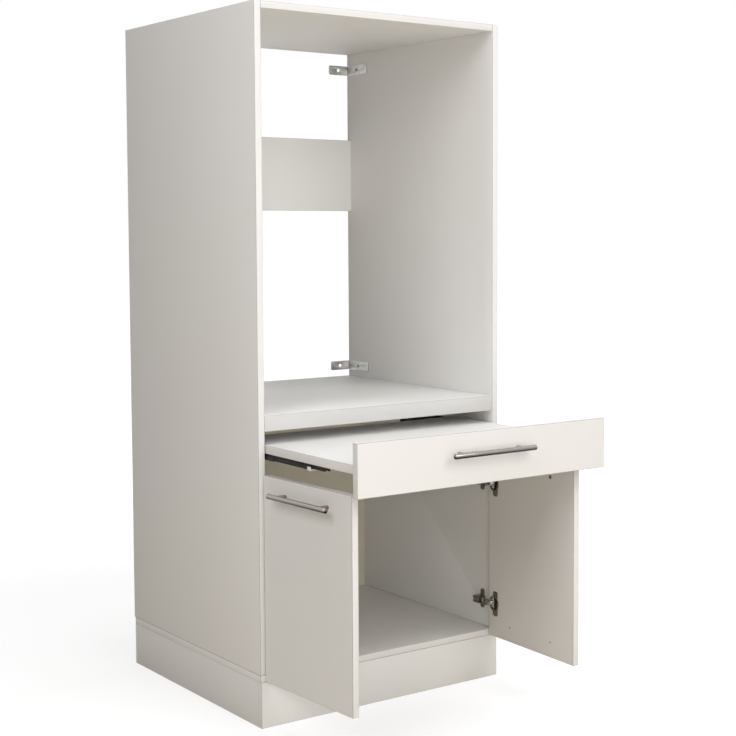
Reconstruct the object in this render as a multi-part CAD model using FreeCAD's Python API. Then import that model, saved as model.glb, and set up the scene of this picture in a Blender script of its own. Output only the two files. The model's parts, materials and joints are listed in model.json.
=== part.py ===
"""Tall white cabinet for a washing machine, with a pull-out shelf and a two-door cupboard below it.

Millimetres, +Z up, front towards -Y. The origin is on the floor, in the middle of the underside of the
plinth's front board. The pieces are stored as the cabinet is shown: shelf pulled out, doors open.
"""
import FreeCAD
import Part
import math
import os

V = FreeCAD.Vector
PARALLEL_RATIO = 0.99

# Carcass boards
WIDTH = 675.0
DEPTH = 650.0
HEIGHT = 1613.0
BOARD = 16.0
NICHE_HEIGHT = 892.0
APPLIANCE_SHELF = 36.0
PLINTH_HEIGHT = 105.0
PLINTH_INSET = 2.0
BOTTOM_REAR_RECESS = 5.0
BACK_RAIL_HEIGHT = 195.0
BACK_RAIL_DROP = 236.0
BACK_PANEL = 3.0
BACK_PANEL_SETBACK = 72.0
GROOVE_DEPTH = 5.0
GROOVE_CLEARANCE = 0.1

# Dowels, cam fittings and base screws that hold the boards together
DOWEL_RADIUS = 4.0
DOWEL_SHORT_END = 10.0
DOWEL_LONG_END = 22.0
DOWEL_INSET = 50.0
DOWEL_WALL = 2.0
FIT_CLEARANCE = 0.1
HOLE_RELIEF = 0.5
CAM_RADIUS = 7.5
CAM_DEPTH = 12.5
CAM_AXIS_DEPTH = 8.0
CAM_REACH = 24.0
CAM_BOLT_RADIUS = 3.0
CAM_THREAD_RADIUS = 2.5
CAM_THREAD_LENGTH = 11.0
CAM_SLOT_WIDTH = 0.8
CAM_SLOT_DEPTH = 1.0
RAIL_FIXING_SPREAD = 50.0
BASE_SCREW_RADIUS = 2.5
BASE_SCREW_LENGTH = 50.0
BASE_SCREW_HEAD_RADIUS = 4.8
BASE_SCREW_HEAD = 4.0
BASE_SCREW_INSET = 110.0

# Angle brackets that tie the cabinet to the wall
BRACKET_SIDE_LEG = 100.0
BRACKET_WALL_LEG = 60.0
BRACKET_HEIGHT = 25.0
BRACKET_SHEET = 2.0
BRACKET_BEND_RADIUS = 4.0
BRACKET_WALL_HOLE_RADIUS = 4.5
BRACKET_WALL_HOLE_OFFSET = 30.0
BRACKET_SCREW_OFFSET = 50.0
BRACKET_SPARE_OFFSET = 80.0
BRACKET_SPARE_RADIUS = 2.0
BRACKET_TOP_DROP = 44.0
BRACKET_SHELF_RISE = 30.0

# Wood screws that hold brackets, runners and hinges
SCREW_RADIUS = 2.0
SCREW_LENGTH = 13.0
SCREW_HEAD_RADIUS = 3.6
SCREW_HEAD = 1.6
SCREW_TIP = 3.0
SCREW_TIP_RADIUS = 0.5

# Door and shelf fronts
FRONT_BOARD = 16.0
FRONT_GAP = 3.0
FRONT_CHAMFER = 0.8
REVEAL = 2.0
MEETING_GAP = 3.0
DOOR_LIFT = 2.0
SHELF_FRONT_HEIGHT = 113.0
SHELF_FRONT_LAP = 20.0
DOOR_ANGLE = 87.5

# Pull-out shelf
PULL_BOARD = 19.0
PULL_DEPTH = 530.0
PULL_SIDE_GAP = 3.5
PULL_HEADROOM = 30.0
PULL_TRAVEL = 375.0
FRONT_DOWELS = 4

# Three-member ball runner lying under the shelf board
RUNNER_LENGTH = 350.0
RUNNER_WIDTH = 26.0
RUNNER_DROP = 15.0
RUNNER_SETBACK = 12.0
MIDDLE_SETBACK = 4.0
SHELF_RAIL_SETBACK = 134.0
RUNNER_SHEET = 1.2
RUNNER_FLANGE_RISE = 13.0
RUNNER_WALL_DROP = 4.0
MIDDLE_WALL_DROP = 2.8
RACE_GAP = 2.4
BALL_RADIUS = 1.5
BALL_CLEARANCE = 0.15
BALLS_PER_ROW = 3
CAGE_SHEET = 0.8
CAGE_CLEARANCE = 0.3
CAGE_LENGTH = 140.0
CAGE_END_MARGIN = 12.0
OUTER_CAGE_LEAD = 45.0
INNER_CAGE_SETBACK = 38.0
CATCH_LENGTH = 7.0
CATCH_HEIGHT = 1.7
CATCH_INSET = 1.0
RUNNER_SCREW_RISE = 7.0
RUNNER_SCREWS = 3
RUNNER_SCREW_INSET = 30.0
SHELF_RAIL_SCREW_INSET = 60.0

# Bar handles
BAR_RADIUS = 6.0
BAR_LENGTH = 220.0
BAR_CHAMFER = 0.8
POST_RADIUS = 4.5
POST_SPACING = 160.0
BAR_STANDOFF = 26.0
HANDLE_SCREW_RADIUS = 2.0
HANDLE_SCREW_GRIP = 9.0
HANDLE_SCREW_HEAD_RADIUS = 4.0
HANDLE_SCREW_HEAD = 2.2
HANDLE_HOLE_CLEARANCE = 0.25
SHELF_HANDLE_DROP = 44.0
DOOR_HANDLE_DROP = 36.0
PILOT_DEPTH = 12.0

# Concealed hinges: cup in the door, arm and cross plate on the side panel, two links between them
HINGE_END_INSET = 83.0
CUP_RADIUS = 17.5
CUP_CLEARANCE = 0.1
CUP_DEPTH = 11.5
CUP_WALL = 1.0
CUP_RIM = 1.6
CUP_EDGE_WALL = 4.5
CUP_NOTCH_DEPTH = 3.5
CUP_NOTCH_HALF_HEIGHT = 8.0
CUP_NOTCH_REACH = 3.5
PIN_SEAT_RATIO = 0.75
FLANGE_SHEET = 1.2
FLANGE_WIDTH = 19.0
FLANGE_HEIGHT = 62.0
FLANGE_CORNER = 6.0
FLANGE_OFFSET = 6.0
CUP_SCREW_SPACING = 48.0
PIN_RADIUS = 1.0
PIN_CLEARANCE = 0.1
EYE_RADIUS = 2.0
OPEN_EYE_BORE = 2.4
OPEN_EYE_RADIUS = 3.3
LONG_ARM_PIVOT = (17.2, -16.5)
LONG_CUP_PIVOT = (10.8, 2.5)
LONG_RATIO = -0.323
LONG_KNEE = (6.0, 3.6)
LONG_HALF_WIDTH = 1.0
LONG_OUTER_Z = 6.4
LONG_FORK_Z = 4.4
LONG_FORK_START = 11.0
SHORT_ARM_PIVOT = (18.4, 0.4)
SHORT_CUP_PIVOT = (14.3, 4.3)
SHORT_RATIO = -0.42
SHORT_SAGITTA = 3.4
SHORT_HALF_WIDTH = 1.0
SHORT_OUTER_Z = 3.9
ARM_SHEET = 1.2
ARM_INNER_Z = 6.9
ARM_WEB = 21.0
ARM_LIFT = 4.0
ARM_REAR = 50.0
ARM_SHOULDER = 26.0
NOSE_HALF_WIDTH = 2.2
PLATE_SHEET = 2.4
PLATE_HEIGHT = 48.0
PLATE_LENGTH = 14.0
PLATE_CORNER = 5.0
PLATE_CENTRE = 37.0
PLATE_SCREW_SPACING = 32.0
PLATE_BLOCK_Z = 6.6
PLATE_BLOCK_REAR = 47.0
ARM_SCREW_SETBACKS = (31.0, 43.0)
ARM_SLOT_RADIUS = 2.8
ARM_SCREW_RADIUS = 2.5
ARM_SCREW_HEAD_RADIUS = 4.0
ARM_SCREW_HEAD = 1.4
ARM_SCREW_LENGTH = 10.0

# Planes and levels worked out from the sizes above
FRONT = -BOARD / 2
BACK = FRONT + DEPTH
LEFT = -WIDTH / 2
LEFT_INNER = LEFT + BOARD
FLOOR_TOP = PLINTH_HEIGHT + BOARD
NICHE_TOP = HEIGHT - BOARD
SHELF_TOP = NICHE_TOP - NICHE_HEIGHT
SHELF_UNDER = SHELF_TOP - APPLIANCE_SHELF
RAIL_TOP = NICHE_TOP - BACK_RAIL_DROP
RAIL_BOTTOM = RAIL_TOP - BACK_RAIL_HEIGHT
BACK_PANEL_REAR = BACK - BACK_PANEL_SETBACK
BACK_PANEL_FRONT = BACK_PANEL_REAR - BACK_PANEL
PLINTH_LEFT = LEFT + PLINTH_INSET
SHELF_FRONT_TOP = SHELF_UNDER + SHELF_FRONT_LAP
SHELF_FRONT_BOTTOM = SHELF_FRONT_TOP - SHELF_FRONT_HEIGHT
DOOR_BOTTOM = PLINTH_HEIGHT + DOOR_LIFT
DOOR_TOP = SHELF_FRONT_BOTTOM - MEETING_GAP
DOOR_WIDTH = (WIDTH - 2 * REVEAL - MEETING_GAP) / 2
DOOR_INNER = FRONT - FRONT_GAP
DOOR_OUTER = DOOR_INNER - FRONT_BOARD
PULL_TOP = SHELF_UNDER - PULL_HEADROOM
PULL_UNDER = PULL_TOP - PULL_BOARD
PULL_LEFT = LEFT_INNER + PULL_SIDE_GAP
HINGE_LEVELS = (DOOR_BOTTOM + HINGE_END_INSET, DOOR_TOP - HINGE_END_INSET)
CUP_EDGE = CUP_EDGE_WALL + CUP_RADIUS


def box(x0, x1, y0, y1, z0, z1):
    """Return the box between two corners."""
    return Part.makeBox(x1 - x0, y1 - y0, z1 - z0, V(x0, y0, z0))


def rod(start, axis, radius, length):
    """Return a cylinder that runs from a point along an axis."""
    return Part.makeCylinder(radius, length, start, axis)


def fused(shapes):
    """Return one solid made of several that touch."""
    return shapes[0].fuse(shapes[1:]).removeSplitter()


def group(shapes):
    """Return separate solids as one shape."""
    return Part.makeCompound(shapes)


def drilled(shape, tools):
    """Return a shape with every tool cut out of it."""
    return shape.cut(tools) if tools else shape


def mirrored(shape):
    """Return the copy of a shape on the other side of the cabinet's middle plane."""
    return shape.mirror(V(0, 0, 0), V(1, 0, 0))


def both(shapes):
    """Return shapes of the left side together with their right-hand copies."""
    return shapes + [mirrored(shape) for shape in shapes]


def turned_box(length, half_width, start, finish, z0, z1):
    """Return a flat bar of a given half width between two points of a level plane."""
    angle = math.degrees(math.atan2(finish.y - start.y, finish.x - start.x))
    bar = box(0, length, -half_width, half_width, z0, z1)
    bar.rotate(V(0, 0, 0), V(0, 0, 1), angle)
    bar.translate(V(start.x, start.y, 0))
    return bar


def rounded_plate(half_y, half_z, corner, thickness):
    """Return a plate in the YZ plane, centred on the origin, with rounded corners and +X thickness."""
    plate = box(0, thickness, -half_y, half_y, -half_z, half_z)
    return plate.makeFillet(corner, [edge for edge in plate.Edges if is_along(edge, V(1, 0, 0))])


def is_along(edge, axis):
    """Tell whether a straight edge runs along an axis."""
    return abs(edge.tangentAt(edge.FirstParameter).dot(axis)) > PARALLEL_RATIO


def chamfered_front(shape):
    """Return a front board with its four outer edges broken, the face at the lowest Y."""
    low = shape.BoundBox.YMin
    edges = [edge for edge in shape.Edges if edge.BoundBox.YMax < low + FIT_CLEARANCE]
    return shape.makeChamfer(FRONT_CHAMFER, edges)


def profile_along_y(points, y0, y1):
    """Return a solid whose XZ outline runs from one Y to another."""
    corners = [V(x, y0, z) for x, z in points]
    face = Part.Face(Part.makePolygon(corners + corners[:1]))
    return face.extrude(V(0, y1 - y0, 0))


def wood_screw(seat, axis):
    """Return a pan-head screw with a pointed shank, its head resting on a seat."""
    shank = rod(seat, axis, SCREW_RADIUS, SCREW_LENGTH - SCREW_TIP)
    tip_start = seat + axis * (SCREW_LENGTH - SCREW_TIP)
    tip = Part.makeCone(SCREW_RADIUS, SCREW_TIP_RADIUS, SCREW_TIP, tip_start, axis)
    head = rod(seat - axis * SCREW_HEAD, axis, SCREW_HEAD_RADIUS, SCREW_HEAD)
    return fused([head, shank, tip])


def wood_screw_hole(seat, axis):
    """Return the hole that a wood screw fills."""
    return rod(seat, axis, SCREW_RADIUS + FIT_CLEARANCE, SCREW_LENGTH + HOLE_RELIEF)


def dowel(joint, axis):
    """Return a dowel across a joint, its long end along the axis."""
    start = joint - axis * DOWEL_SHORT_END
    return rod(start, axis, DOWEL_RADIUS, DOWEL_SHORT_END + DOWEL_LONG_END)


def dowel_hole(joint, axis):
    """Return the hole for a dowel, through both boards."""
    start = joint - axis * (DOWEL_SHORT_END + HOLE_RELIEF)
    length = DOWEL_SHORT_END + DOWEL_LONG_END + 2 * HOLE_RELIEF
    return rod(start, axis, DOWEL_RADIUS + FIT_CLEARANCE, length)


def cam_joint(joint, axis, open_side):
    """Return the bolt, the cam, and the hole of a cam fitting.

    joint is where the bolt crosses from the side panel into the board, axis runs into the board, and
    open_side points from the bolt to the board face that the cam is let into.
    """
    thread = rod(joint - axis * CAM_THREAD_LENGTH, axis, CAM_THREAD_RADIUS, CAM_THREAD_LENGTH)
    shaft = rod(joint, axis, CAM_BOLT_RADIUS, CAM_REACH)
    face = joint + axis * CAM_REACH + open_side * CAM_AXIS_DEPTH
    house = rod(face, open_side * -1, CAM_RADIUS, CAM_DEPTH)
    socket = rod(joint, axis, CAM_BOLT_RADIUS + FIT_CLEARANCE, CAM_REACH + FIT_CLEARANCE)
    half_slot = CAM_SLOT_WIDTH / 2
    slot = box(-CAM_BOLT_RADIUS, CAM_BOLT_RADIUS, -half_slot, half_slot, -CAM_SLOT_DEPTH, CAM_SLOT_DEPTH)
    slot.Placement = FreeCAD.Placement(face, FreeCAD.Rotation(V(0, 0, 1), open_side))
    hole_thread = rod(
        joint - axis * (CAM_THREAD_LENGTH + HOLE_RELIEF),
        axis,
        CAM_THREAD_RADIUS + FIT_CLEARANCE,
        CAM_THREAD_LENGTH + HOLE_RELIEF,
    )
    hole_house = rod(face, open_side * -1, CAM_RADIUS + FIT_CLEARANCE, CAM_DEPTH + FIT_CLEARANCE)
    bolt = fused([thread, shaft])
    cam = house.cut([socket, slot])
    return bolt, cam, [hole_thread, socket, hole_house]


def carcass_fixings():
    """Return the dowels, cams, bolts and base screws of the carcass, with the holes they need."""
    into = V(1, 0, 0)
    up = V(0, 0, 1)
    shelf_middle = SHELF_UNDER + APPLIANCE_SHELF / 2
    rail_middle = (RAIL_TOP + RAIL_BOTTOM) / 2
    rail_y = BACK - BOARD / 2
    rows = (FRONT + DOWEL_INSET, BACK - DOWEL_INSET)
    side_joints = [V(LEFT_INNER, y, z) for y in rows for z in (HEIGHT - BOARD / 2, shelf_middle)]
    side_joints.append(V(LEFT_INNER, rail_y, rail_middle - RAIL_FIXING_SPREAD))
    corner_x = PLINTH_LEFT + BOARD / 2
    front_corner = V(corner_x, FRONT + BOARD, PLINTH_HEIGHT / 2)
    back_corner = V(corner_x, BACK - BOARD, PLINTH_HEIGHT / 2)
    rear_top_y = BACK - BOARD + DOWEL_RADIUS + DOWEL_WALL
    plinth_tops = [V(-WIDTH / 4, y, PLINTH_HEIGHT) for y in (FRONT + BOARD / 2, rear_top_y)]
    seats = [(joint, into) for joint in side_joints]
    seats += [(front_corner, V(0, 1, 0)), (back_corner, V(0, -1, 0))]
    seats += [(joint, up * -1) for joint in plinth_tops]
    dowels = [dowel(joint, axis) for joint, axis in seats]
    holes = [dowel_hole(joint, axis) for joint, axis in seats]

    middle_y = (FRONT + BACK) / 2
    cam_seats = (
        (V(LEFT_INNER, middle_y, HEIGHT - CAM_AXIS_DEPTH), up),
        (V(LEFT_INNER, middle_y, SHELF_UNDER + CAM_AXIS_DEPTH), up * -1),
        (V(LEFT_INNER, BACK - CAM_AXIS_DEPTH, rail_middle + RAIL_FIXING_SPREAD), V(0, 1, 0)),
    )
    bolts = []
    cams = []
    for joint, open_side in cam_seats:
        bolt, cam, cam_holes = cam_joint(joint, into, open_side)
        bolts.append(bolt)
        cams.append(cam)
        holes += cam_holes

    screws = []
    for y in (FRONT + BASE_SCREW_INSET, BACK - BASE_SCREW_INSET):
        foot = V(LEFT + BOARD / 2, y, PLINTH_HEIGHT)
        head = Part.makeCone(BASE_SCREW_HEAD_RADIUS, BASE_SCREW_RADIUS, BASE_SCREW_HEAD, foot, up)
        shank = rod(foot, up, BASE_SCREW_RADIUS, BASE_SCREW_LENGTH)
        screws.append(fused([head, shank]))
        holes.append(
            Part.makeCone(
                BASE_SCREW_HEAD_RADIUS + FIT_CLEARANCE,
                BASE_SCREW_RADIUS + FIT_CLEARANCE,
                BASE_SCREW_HEAD,
                foot,
                up,
            )
        )
        holes.append(rod(foot, up, BASE_SCREW_RADIUS + FIT_CLEARANCE, BASE_SCREW_LENGTH + HOLE_RELIEF))
    nodes = {
        "board_dowels": group(both(dowels)),
        "cam_locks": group(both(cams)),
        "cam_bolts": group(both(bolts)),
        "base_screws": group(both(screws)),
    }
    return nodes, both(holes)


def carcass_boards(holes):
    """Return the carcass and plinth boards, bored for their fixings."""
    side = box(LEFT, LEFT_INNER, FRONT, BACK, FLOOR_TOP, HEIGHT)
    groove = box(
        LEFT_INNER - GROOVE_DEPTH,
        -LEFT_INNER + GROOVE_DEPTH,
        BACK_PANEL_FRONT - GROOVE_CLEARANCE,
        BACK_PANEL_REAR + GROOVE_CLEARANCE,
        FLOOR_TOP - GROOVE_DEPTH,
        SHELF_UNDER + GROOVE_DEPTH,
    )
    inner = -LEFT_INNER
    rear_bottom = BACK - BOTTOM_REAR_RECESS
    plinth_right = -PLINTH_LEFT
    plinth_side = box(PLINTH_LEFT, PLINTH_LEFT + BOARD, FRONT + BOARD, BACK - BOARD, 0, PLINTH_HEIGHT)
    boards = {
        "side_panel_left": side,
        "side_panel_right": mirrored(side),
        "top_panel": box(LEFT_INNER, inner, FRONT, BACK, NICHE_TOP, HEIGHT),
        "bottom_panel": box(LEFT, -LEFT, FRONT, rear_bottom, PLINTH_HEIGHT, FLOOR_TOP),
        "appliance_shelf": box(LEFT_INNER, inner, FRONT, BACK, SHELF_UNDER, SHELF_TOP),
        "back_rail": box(LEFT_INNER, inner, BACK - BOARD, BACK, RAIL_BOTTOM, RAIL_TOP),
        "plinth_front": box(PLINTH_LEFT, plinth_right, FRONT, FRONT + BOARD, 0, PLINTH_HEIGHT),
        "plinth_back": box(PLINTH_LEFT, plinth_right, BACK - BOARD, BACK, 0, PLINTH_HEIGHT),
        "plinth_side_left": plinth_side,
        "plinth_side_right": mirrored(plinth_side),
    }
    tools = holes + [groove]
    nodes = {}
    for name, board in boards.items():
        near = [tool for tool in tools if tool.BoundBox.intersect(board.BoundBox)]
        nodes[name] = drilled(board, near)
    slack = GROOVE_DEPTH - GROOVE_CLEARANCE
    nodes["back_panel"] = box(
        LEFT_INNER - slack,
        inner + slack,
        BACK_PANEL_FRONT,
        BACK_PANEL_REAR,
        FLOOR_TOP - slack,
        SHELF_UNDER + slack,
    )
    return nodes


def wall_bracket(level):
    """Return a left-hand angle bracket centred on a level, and its screw and screw hole."""
    low = level - BRACKET_HEIGHT / 2
    high = level + BRACKET_HEIGHT / 2
    side_leg = box(LEFT_INNER, LEFT_INNER + BRACKET_SHEET, BACK - BRACKET_SIDE_LEG, BACK, low, high)
    wall_leg = box(LEFT_INNER, LEFT_INNER + BRACKET_WALL_LEG, BACK - BRACKET_SHEET, BACK, low, high)
    angle = fused([side_leg, wall_leg])
    along_x = V(1, 0, 0)
    along_y = V(0, 1, 0)
    corners = []
    for edge in angle.Edges:
        frame = edge.BoundBox
        at_tip = abs(frame.XMax - LEFT_INNER - BRACKET_WALL_LEG) < FIT_CLEARANCE
        at_front = abs(frame.YMin - BACK + BRACKET_SIDE_LEG) < FIT_CLEARANCE
        if (at_tip and is_along(edge, along_y)) or (at_front and is_along(edge, along_x)):
            corners.append(edge)
    angle = angle.makeFillet(BRACKET_BEND_RADIUS, corners)
    wall_hole_x = LEFT_INNER + BRACKET_WALL_HOLE_OFFSET
    wall_hole_start = V(wall_hole_x, BACK - BRACKET_SHEET, level)
    wall_hole = rod(wall_hole_start, along_y, BRACKET_WALL_HOLE_RADIUS, BRACKET_SHEET)
    spare_start = V(LEFT_INNER, BACK - BRACKET_SPARE_OFFSET, level)
    spare = rod(spare_start, along_x, BRACKET_SPARE_RADIUS, BRACKET_SHEET)
    seat = V(LEFT_INNER + BRACKET_SHEET, BACK - BRACKET_SCREW_OFFSET, level)
    screw_hole = wood_screw_hole(seat, along_x * -1)
    return angle.cut([wall_hole, spare, screw_hole]), wood_screw(seat, along_x * -1), screw_hole


def wall_fixing():
    """Return the four wall brackets and their screws, with the holes in the side panels."""
    levels = {"upper": NICHE_TOP - BRACKET_TOP_DROP, "lower": SHELF_TOP + BRACKET_SHELF_RISE}
    nodes = {}
    screws = []
    holes = []
    for word, level in levels.items():
        bracket, screw, hole = wall_bracket(level)
        nodes["wall_brackets_" + word] = group(both([bracket]))
        screws.append(screw)
        holes.append(hole)
    return nodes, both(screws), both(holes)


def channel(x0, x1, web_low, wall_high, y0, y1, sheet):
    """Return a sheet channel along Y, open upwards, with level wall tops."""
    web_high = web_low + sheet
    outline = [
        (x0, wall_high),
        (x0 + sheet, wall_high),
        (x0 + sheet, web_high),
        (x1 - sheet, web_high),
        (x1 - sheet, wall_high),
        (x1, wall_high),
        (x1, web_low),
        (x0, web_low),
    ]
    return profile_along_y(outline, y0, y1)


def race_cuts(x_rows, level, y0, y1):
    """Return the round grooves that the balls of a pair of rows run in."""
    radius = BALL_RADIUS + BALL_CLEARANCE
    return [rod(V(x, y0, level), V(0, 1, 0), radius, y1 - y0) for x in x_rows]


def ball_cage(x_rows, level, web_low, y0, ball_start, ball_end):
    """Return a ball cage and its balls, at the places where the runner is pulled out."""
    half = CAGE_SHEET / 2
    wall_high = level + BALL_RADIUS + CAGE_SHEET
    y1 = y0 + CAGE_LENGTH
    cage = channel(x_rows[0] - half, x_rows[1] + half, web_low, wall_high, y0, y1, CAGE_SHEET)
    step = (ball_end - ball_start) / (BALLS_PER_ROW - 1)
    reach = BALL_RADIUS + CAGE_SHEET
    window_radius = BALL_RADIUS + BALL_CLEARANCE
    balls = []
    windows = []
    for x in x_rows:
        for index in range(BALLS_PER_ROW):
            centre = V(x, ball_start + index * step, level)
            balls.append(Part.makeSphere(BALL_RADIUS, centre))
            windows.append(rod(centre - V(reach, 0, 0), V(1, 0, 0), window_radius, 2 * reach))
    return group([cage.cut(windows)] + balls)


def runner():
    """Return the left-hand runner's members, cages, catch and screws, pulled out, and the panel holes."""
    base = PULL_UNDER - RUNNER_DROP
    layer = CAGE_SHEET + 2 * CAGE_CLEARANCE
    middle_web = base + RUNNER_SHEET + layer
    shelf_low = middle_web + RUNNER_SHEET + layer
    cabinet_x = (LEFT_INNER, LEFT_INNER + RUNNER_WIDTH)
    step = RUNNER_SHEET + RACE_GAP
    middle_x = (cabinet_x[0] + step, cabinet_x[1] - step)
    shelf_x = (middle_x[0] + step, middle_x[1] - step)
    half_gap = RACE_GAP / 2
    outer_rows = (middle_x[0] - half_gap, middle_x[1] + half_gap)
    inner_rows = (shelf_x[0] - half_gap, shelf_x[1] + half_gap)
    cabinet_high = PULL_UNDER - RUNNER_WALL_DROP
    middle_high = PULL_UNDER - MIDDLE_WALL_DROP
    outer_level = (middle_web + cabinet_high) / 2
    inner_level = (shelf_low + middle_high) / 2

    cabinet_y = FRONT + RUNNER_SETBACK
    cabinet_end = cabinet_y + RUNNER_LENGTH
    flange_high = PULL_UNDER + RUNNER_FLANGE_RISE
    flange_x = cabinet_x[0] + RUNNER_SHEET
    flange = box(cabinet_x[0], flange_x, cabinet_y, cabinet_end, base, flange_high)
    trough = channel(*cabinet_x, base, cabinet_high, cabinet_y, cabinet_end, RUNNER_SHEET)
    outer_cuts = race_cuts(outer_rows, outer_level, cabinet_y - PULL_TRAVEL, cabinet_end)
    inward = V(-1, 0, 0)
    screws = []
    holes = []
    pitch = (RUNNER_LENGTH - 2 * RUNNER_SCREW_INSET) / (RUNNER_SCREWS - 1)
    for index in range(RUNNER_SCREWS):
        y = cabinet_y + RUNNER_SCREW_INSET + index * pitch
        seat = V(flange_x, y, PULL_UNDER + RUNNER_SCREW_RISE)
        screws.append(wood_screw(seat, inward))
        holes.append(wood_screw_hole(seat, inward))
    cabinet_rail = fused([flange, trough]).cut(outer_cuts + holes)

    middle_y = FRONT + MIDDLE_SETBACK - PULL_TRAVEL / 2
    inner_cuts = race_cuts(inner_rows, inner_level, middle_y - PULL_TRAVEL, middle_y + RUNNER_LENGTH)
    middle = channel(*middle_x, middle_web, middle_high, middle_y, middle_y + RUNNER_LENGTH, RUNNER_SHEET)
    middle_rail = middle.cut(outer_cuts + inner_cuts)
    catch = box(
        middle_x[0] + CATCH_INSET,
        middle_x[1] - CATCH_INSET,
        middle_y,
        middle_y + CATCH_LENGTH,
        middle_web - CATCH_HEIGHT,
        middle_web,
    )

    shelf_y = FRONT + SHELF_RAIL_SETBACK - PULL_TRAVEL
    shelf_outline = [
        (shelf_x[0], PULL_UNDER),
        (shelf_x[1], PULL_UNDER),
        (shelf_x[1], shelf_low),
        (shelf_x[1] - RUNNER_SHEET, shelf_low),
        (shelf_x[1] - RUNNER_SHEET, PULL_UNDER - RUNNER_SHEET),
        (shelf_x[0] + RUNNER_SHEET, PULL_UNDER - RUNNER_SHEET),
        (shelf_x[0] + RUNNER_SHEET, shelf_low),
        (shelf_x[0], shelf_low),
    ]
    shelf_rail = profile_along_y(shelf_outline, shelf_y, shelf_y + RUNNER_LENGTH)
    rail_screws = []
    board_holes = []
    for y in (shelf_y + SHELF_RAIL_SCREW_INSET, shelf_y + RUNNER_LENGTH - SHELF_RAIL_SCREW_INSET):
        seat = V((shelf_x[0] + shelf_x[1]) / 2, y, PULL_UNDER - RUNNER_SHEET)
        rail_screws.append(wood_screw(seat, V(0, 0, 1)))
        board_holes.append(wood_screw_hole(seat, V(0, 0, 1)))
    shelf_rail = shelf_rail.cut(inner_cuts + board_holes)

    outer_start = cabinet_y - OUTER_CAGE_LEAD
    inner_start = middle_y + INNER_CAGE_SETBACK
    cages = {
        "runner_outer_cage": ball_cage(
            outer_rows,
            outer_level,
            base + RUNNER_SHEET + CAGE_CLEARANCE,
            outer_start,
            cabinet_y + CAGE_END_MARGIN,
            outer_start + CAGE_LENGTH - CAGE_END_MARGIN,
        ),
        "runner_inner_cage": ball_cage(
            inner_rows,
            inner_level,
            middle_web + RUNNER_SHEET + CAGE_CLEARANCE,
            inner_start,
            inner_start + CAGE_END_MARGIN,
            inner_start + CAGE_LENGTH - CAGE_END_MARGIN,
        ),
    }
    members = {
        "runner_cabinet_rail": cabinet_rail,
        "runner_middle_rail": middle_rail,
        "runner_shelf_rail": shelf_rail,
        "runner_catch": catch,
        **cages,
    }
    nodes = {}
    for name, shape in members.items():
        nodes[name + "_left"] = shape
        nodes[name + "_right"] = mirrored(shape)
    nodes["shelf_rail_screws"] = group(both(rail_screws))
    return nodes, both(screws), both(holes), both(board_holes)


def bar_handle(centre_x, face_y, inner_y, level):
    """Return the bar, posts and screws of a handle on a front whose face looks along -Y, and its holes."""
    along = V(1, 0, 0)
    inward = V(0, 1, 0)
    axis_y = face_y - BAR_STANDOFF
    bar = rod(V(centre_x - BAR_LENGTH / 2, axis_y, level), along, BAR_RADIUS, BAR_LENGTH)
    rims = [edge for edge in bar.Edges if edge.Curve.TypeId == "Part::GeomCircle"]
    bar = bar.makeChamfer(BAR_CHAMFER, rims)
    posts = []
    screws = []
    holes = []
    for x in (centre_x - POST_SPACING / 2, centre_x + POST_SPACING / 2):
        post = rod(V(x, axis_y, level), inward, POST_RADIUS, BAR_STANDOFF).cut(bar)
        tip = V(x, face_y - HANDLE_SCREW_GRIP, level)
        length = inner_y - face_y + HANDLE_SCREW_GRIP
        shank = rod(tip, inward, HANDLE_SCREW_RADIUS, length)
        head = rod(V(x, inner_y, level), inward, HANDLE_SCREW_HEAD_RADIUS, HANDLE_SCREW_HEAD)
        posts.append(post.cut(shank))
        screws.append(fused([shank, head]))
        hole_radius = HANDLE_SCREW_RADIUS + HANDLE_HOLE_CLEARANCE
        holes.append(rod(V(x, face_y, level), inward, hole_radius, inner_y - face_y))
    return bar, group(posts), group(screws), holes


def pullout():
    """Return the pull-out shelf with its front and handle, pulled out, and the runners that carry it."""
    nodes, runner_screws, panel_holes, board_holes = runner()
    inner_y = DOOR_INNER - PULL_TRAVEL
    face_y = DOOR_OUTER - PULL_TRAVEL
    front = box(LEFT + REVEAL, -LEFT - REVEAL, face_y, inner_y, SHELF_FRONT_BOTTOM, SHELF_FRONT_TOP)
    board = box(PULL_LEFT, -PULL_LEFT, inner_y, inner_y + PULL_DEPTH, PULL_UNDER, PULL_TOP)
    span = -2 * PULL_LEFT
    middle_z = (PULL_UNDER + PULL_TOP) / 2
    places = [PULL_LEFT + span * (index + 0.5) / FRONT_DOWELS for index in range(FRONT_DOWELS)]
    joints = [V(x, inner_y, middle_z) for x in places]
    into_board = V(0, 1, 0)
    dowel_holes = [dowel_hole(joint, into_board) for joint in joints]
    level = SHELF_FRONT_TOP - SHELF_HANDLE_DROP
    bar, posts, screws, handle_holes = bar_handle(0.0, face_y, inner_y, level)
    nodes["shelf_front"] = chamfered_front(front).cut(dowel_holes + handle_holes)
    nodes["pullout_shelf"] = board.cut(dowel_holes + board_holes)
    nodes["shelf_front_dowels"] = group([dowel(joint, into_board) for joint in joints])
    nodes["shelf_handle_bar"] = bar
    nodes["shelf_handle_posts"] = posts
    nodes["shelf_handle_screws"] = screws
    return nodes, runner_screws, panel_holes


def arm_point(pivot):
    """Return where an arm pivot lies: (distance off the side panel, distance ahead of the carcass)."""
    return V(LEFT_INNER + pivot[0], FRONT - pivot[1], 0)


def cup_point(pivot):
    """Return where a cup pivot lies, doors closed: (distance from the door's edge, depth in the door)."""
    return V(LEFT + REVEAL + pivot[0], DOOR_INNER - pivot[1], 0)


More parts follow.
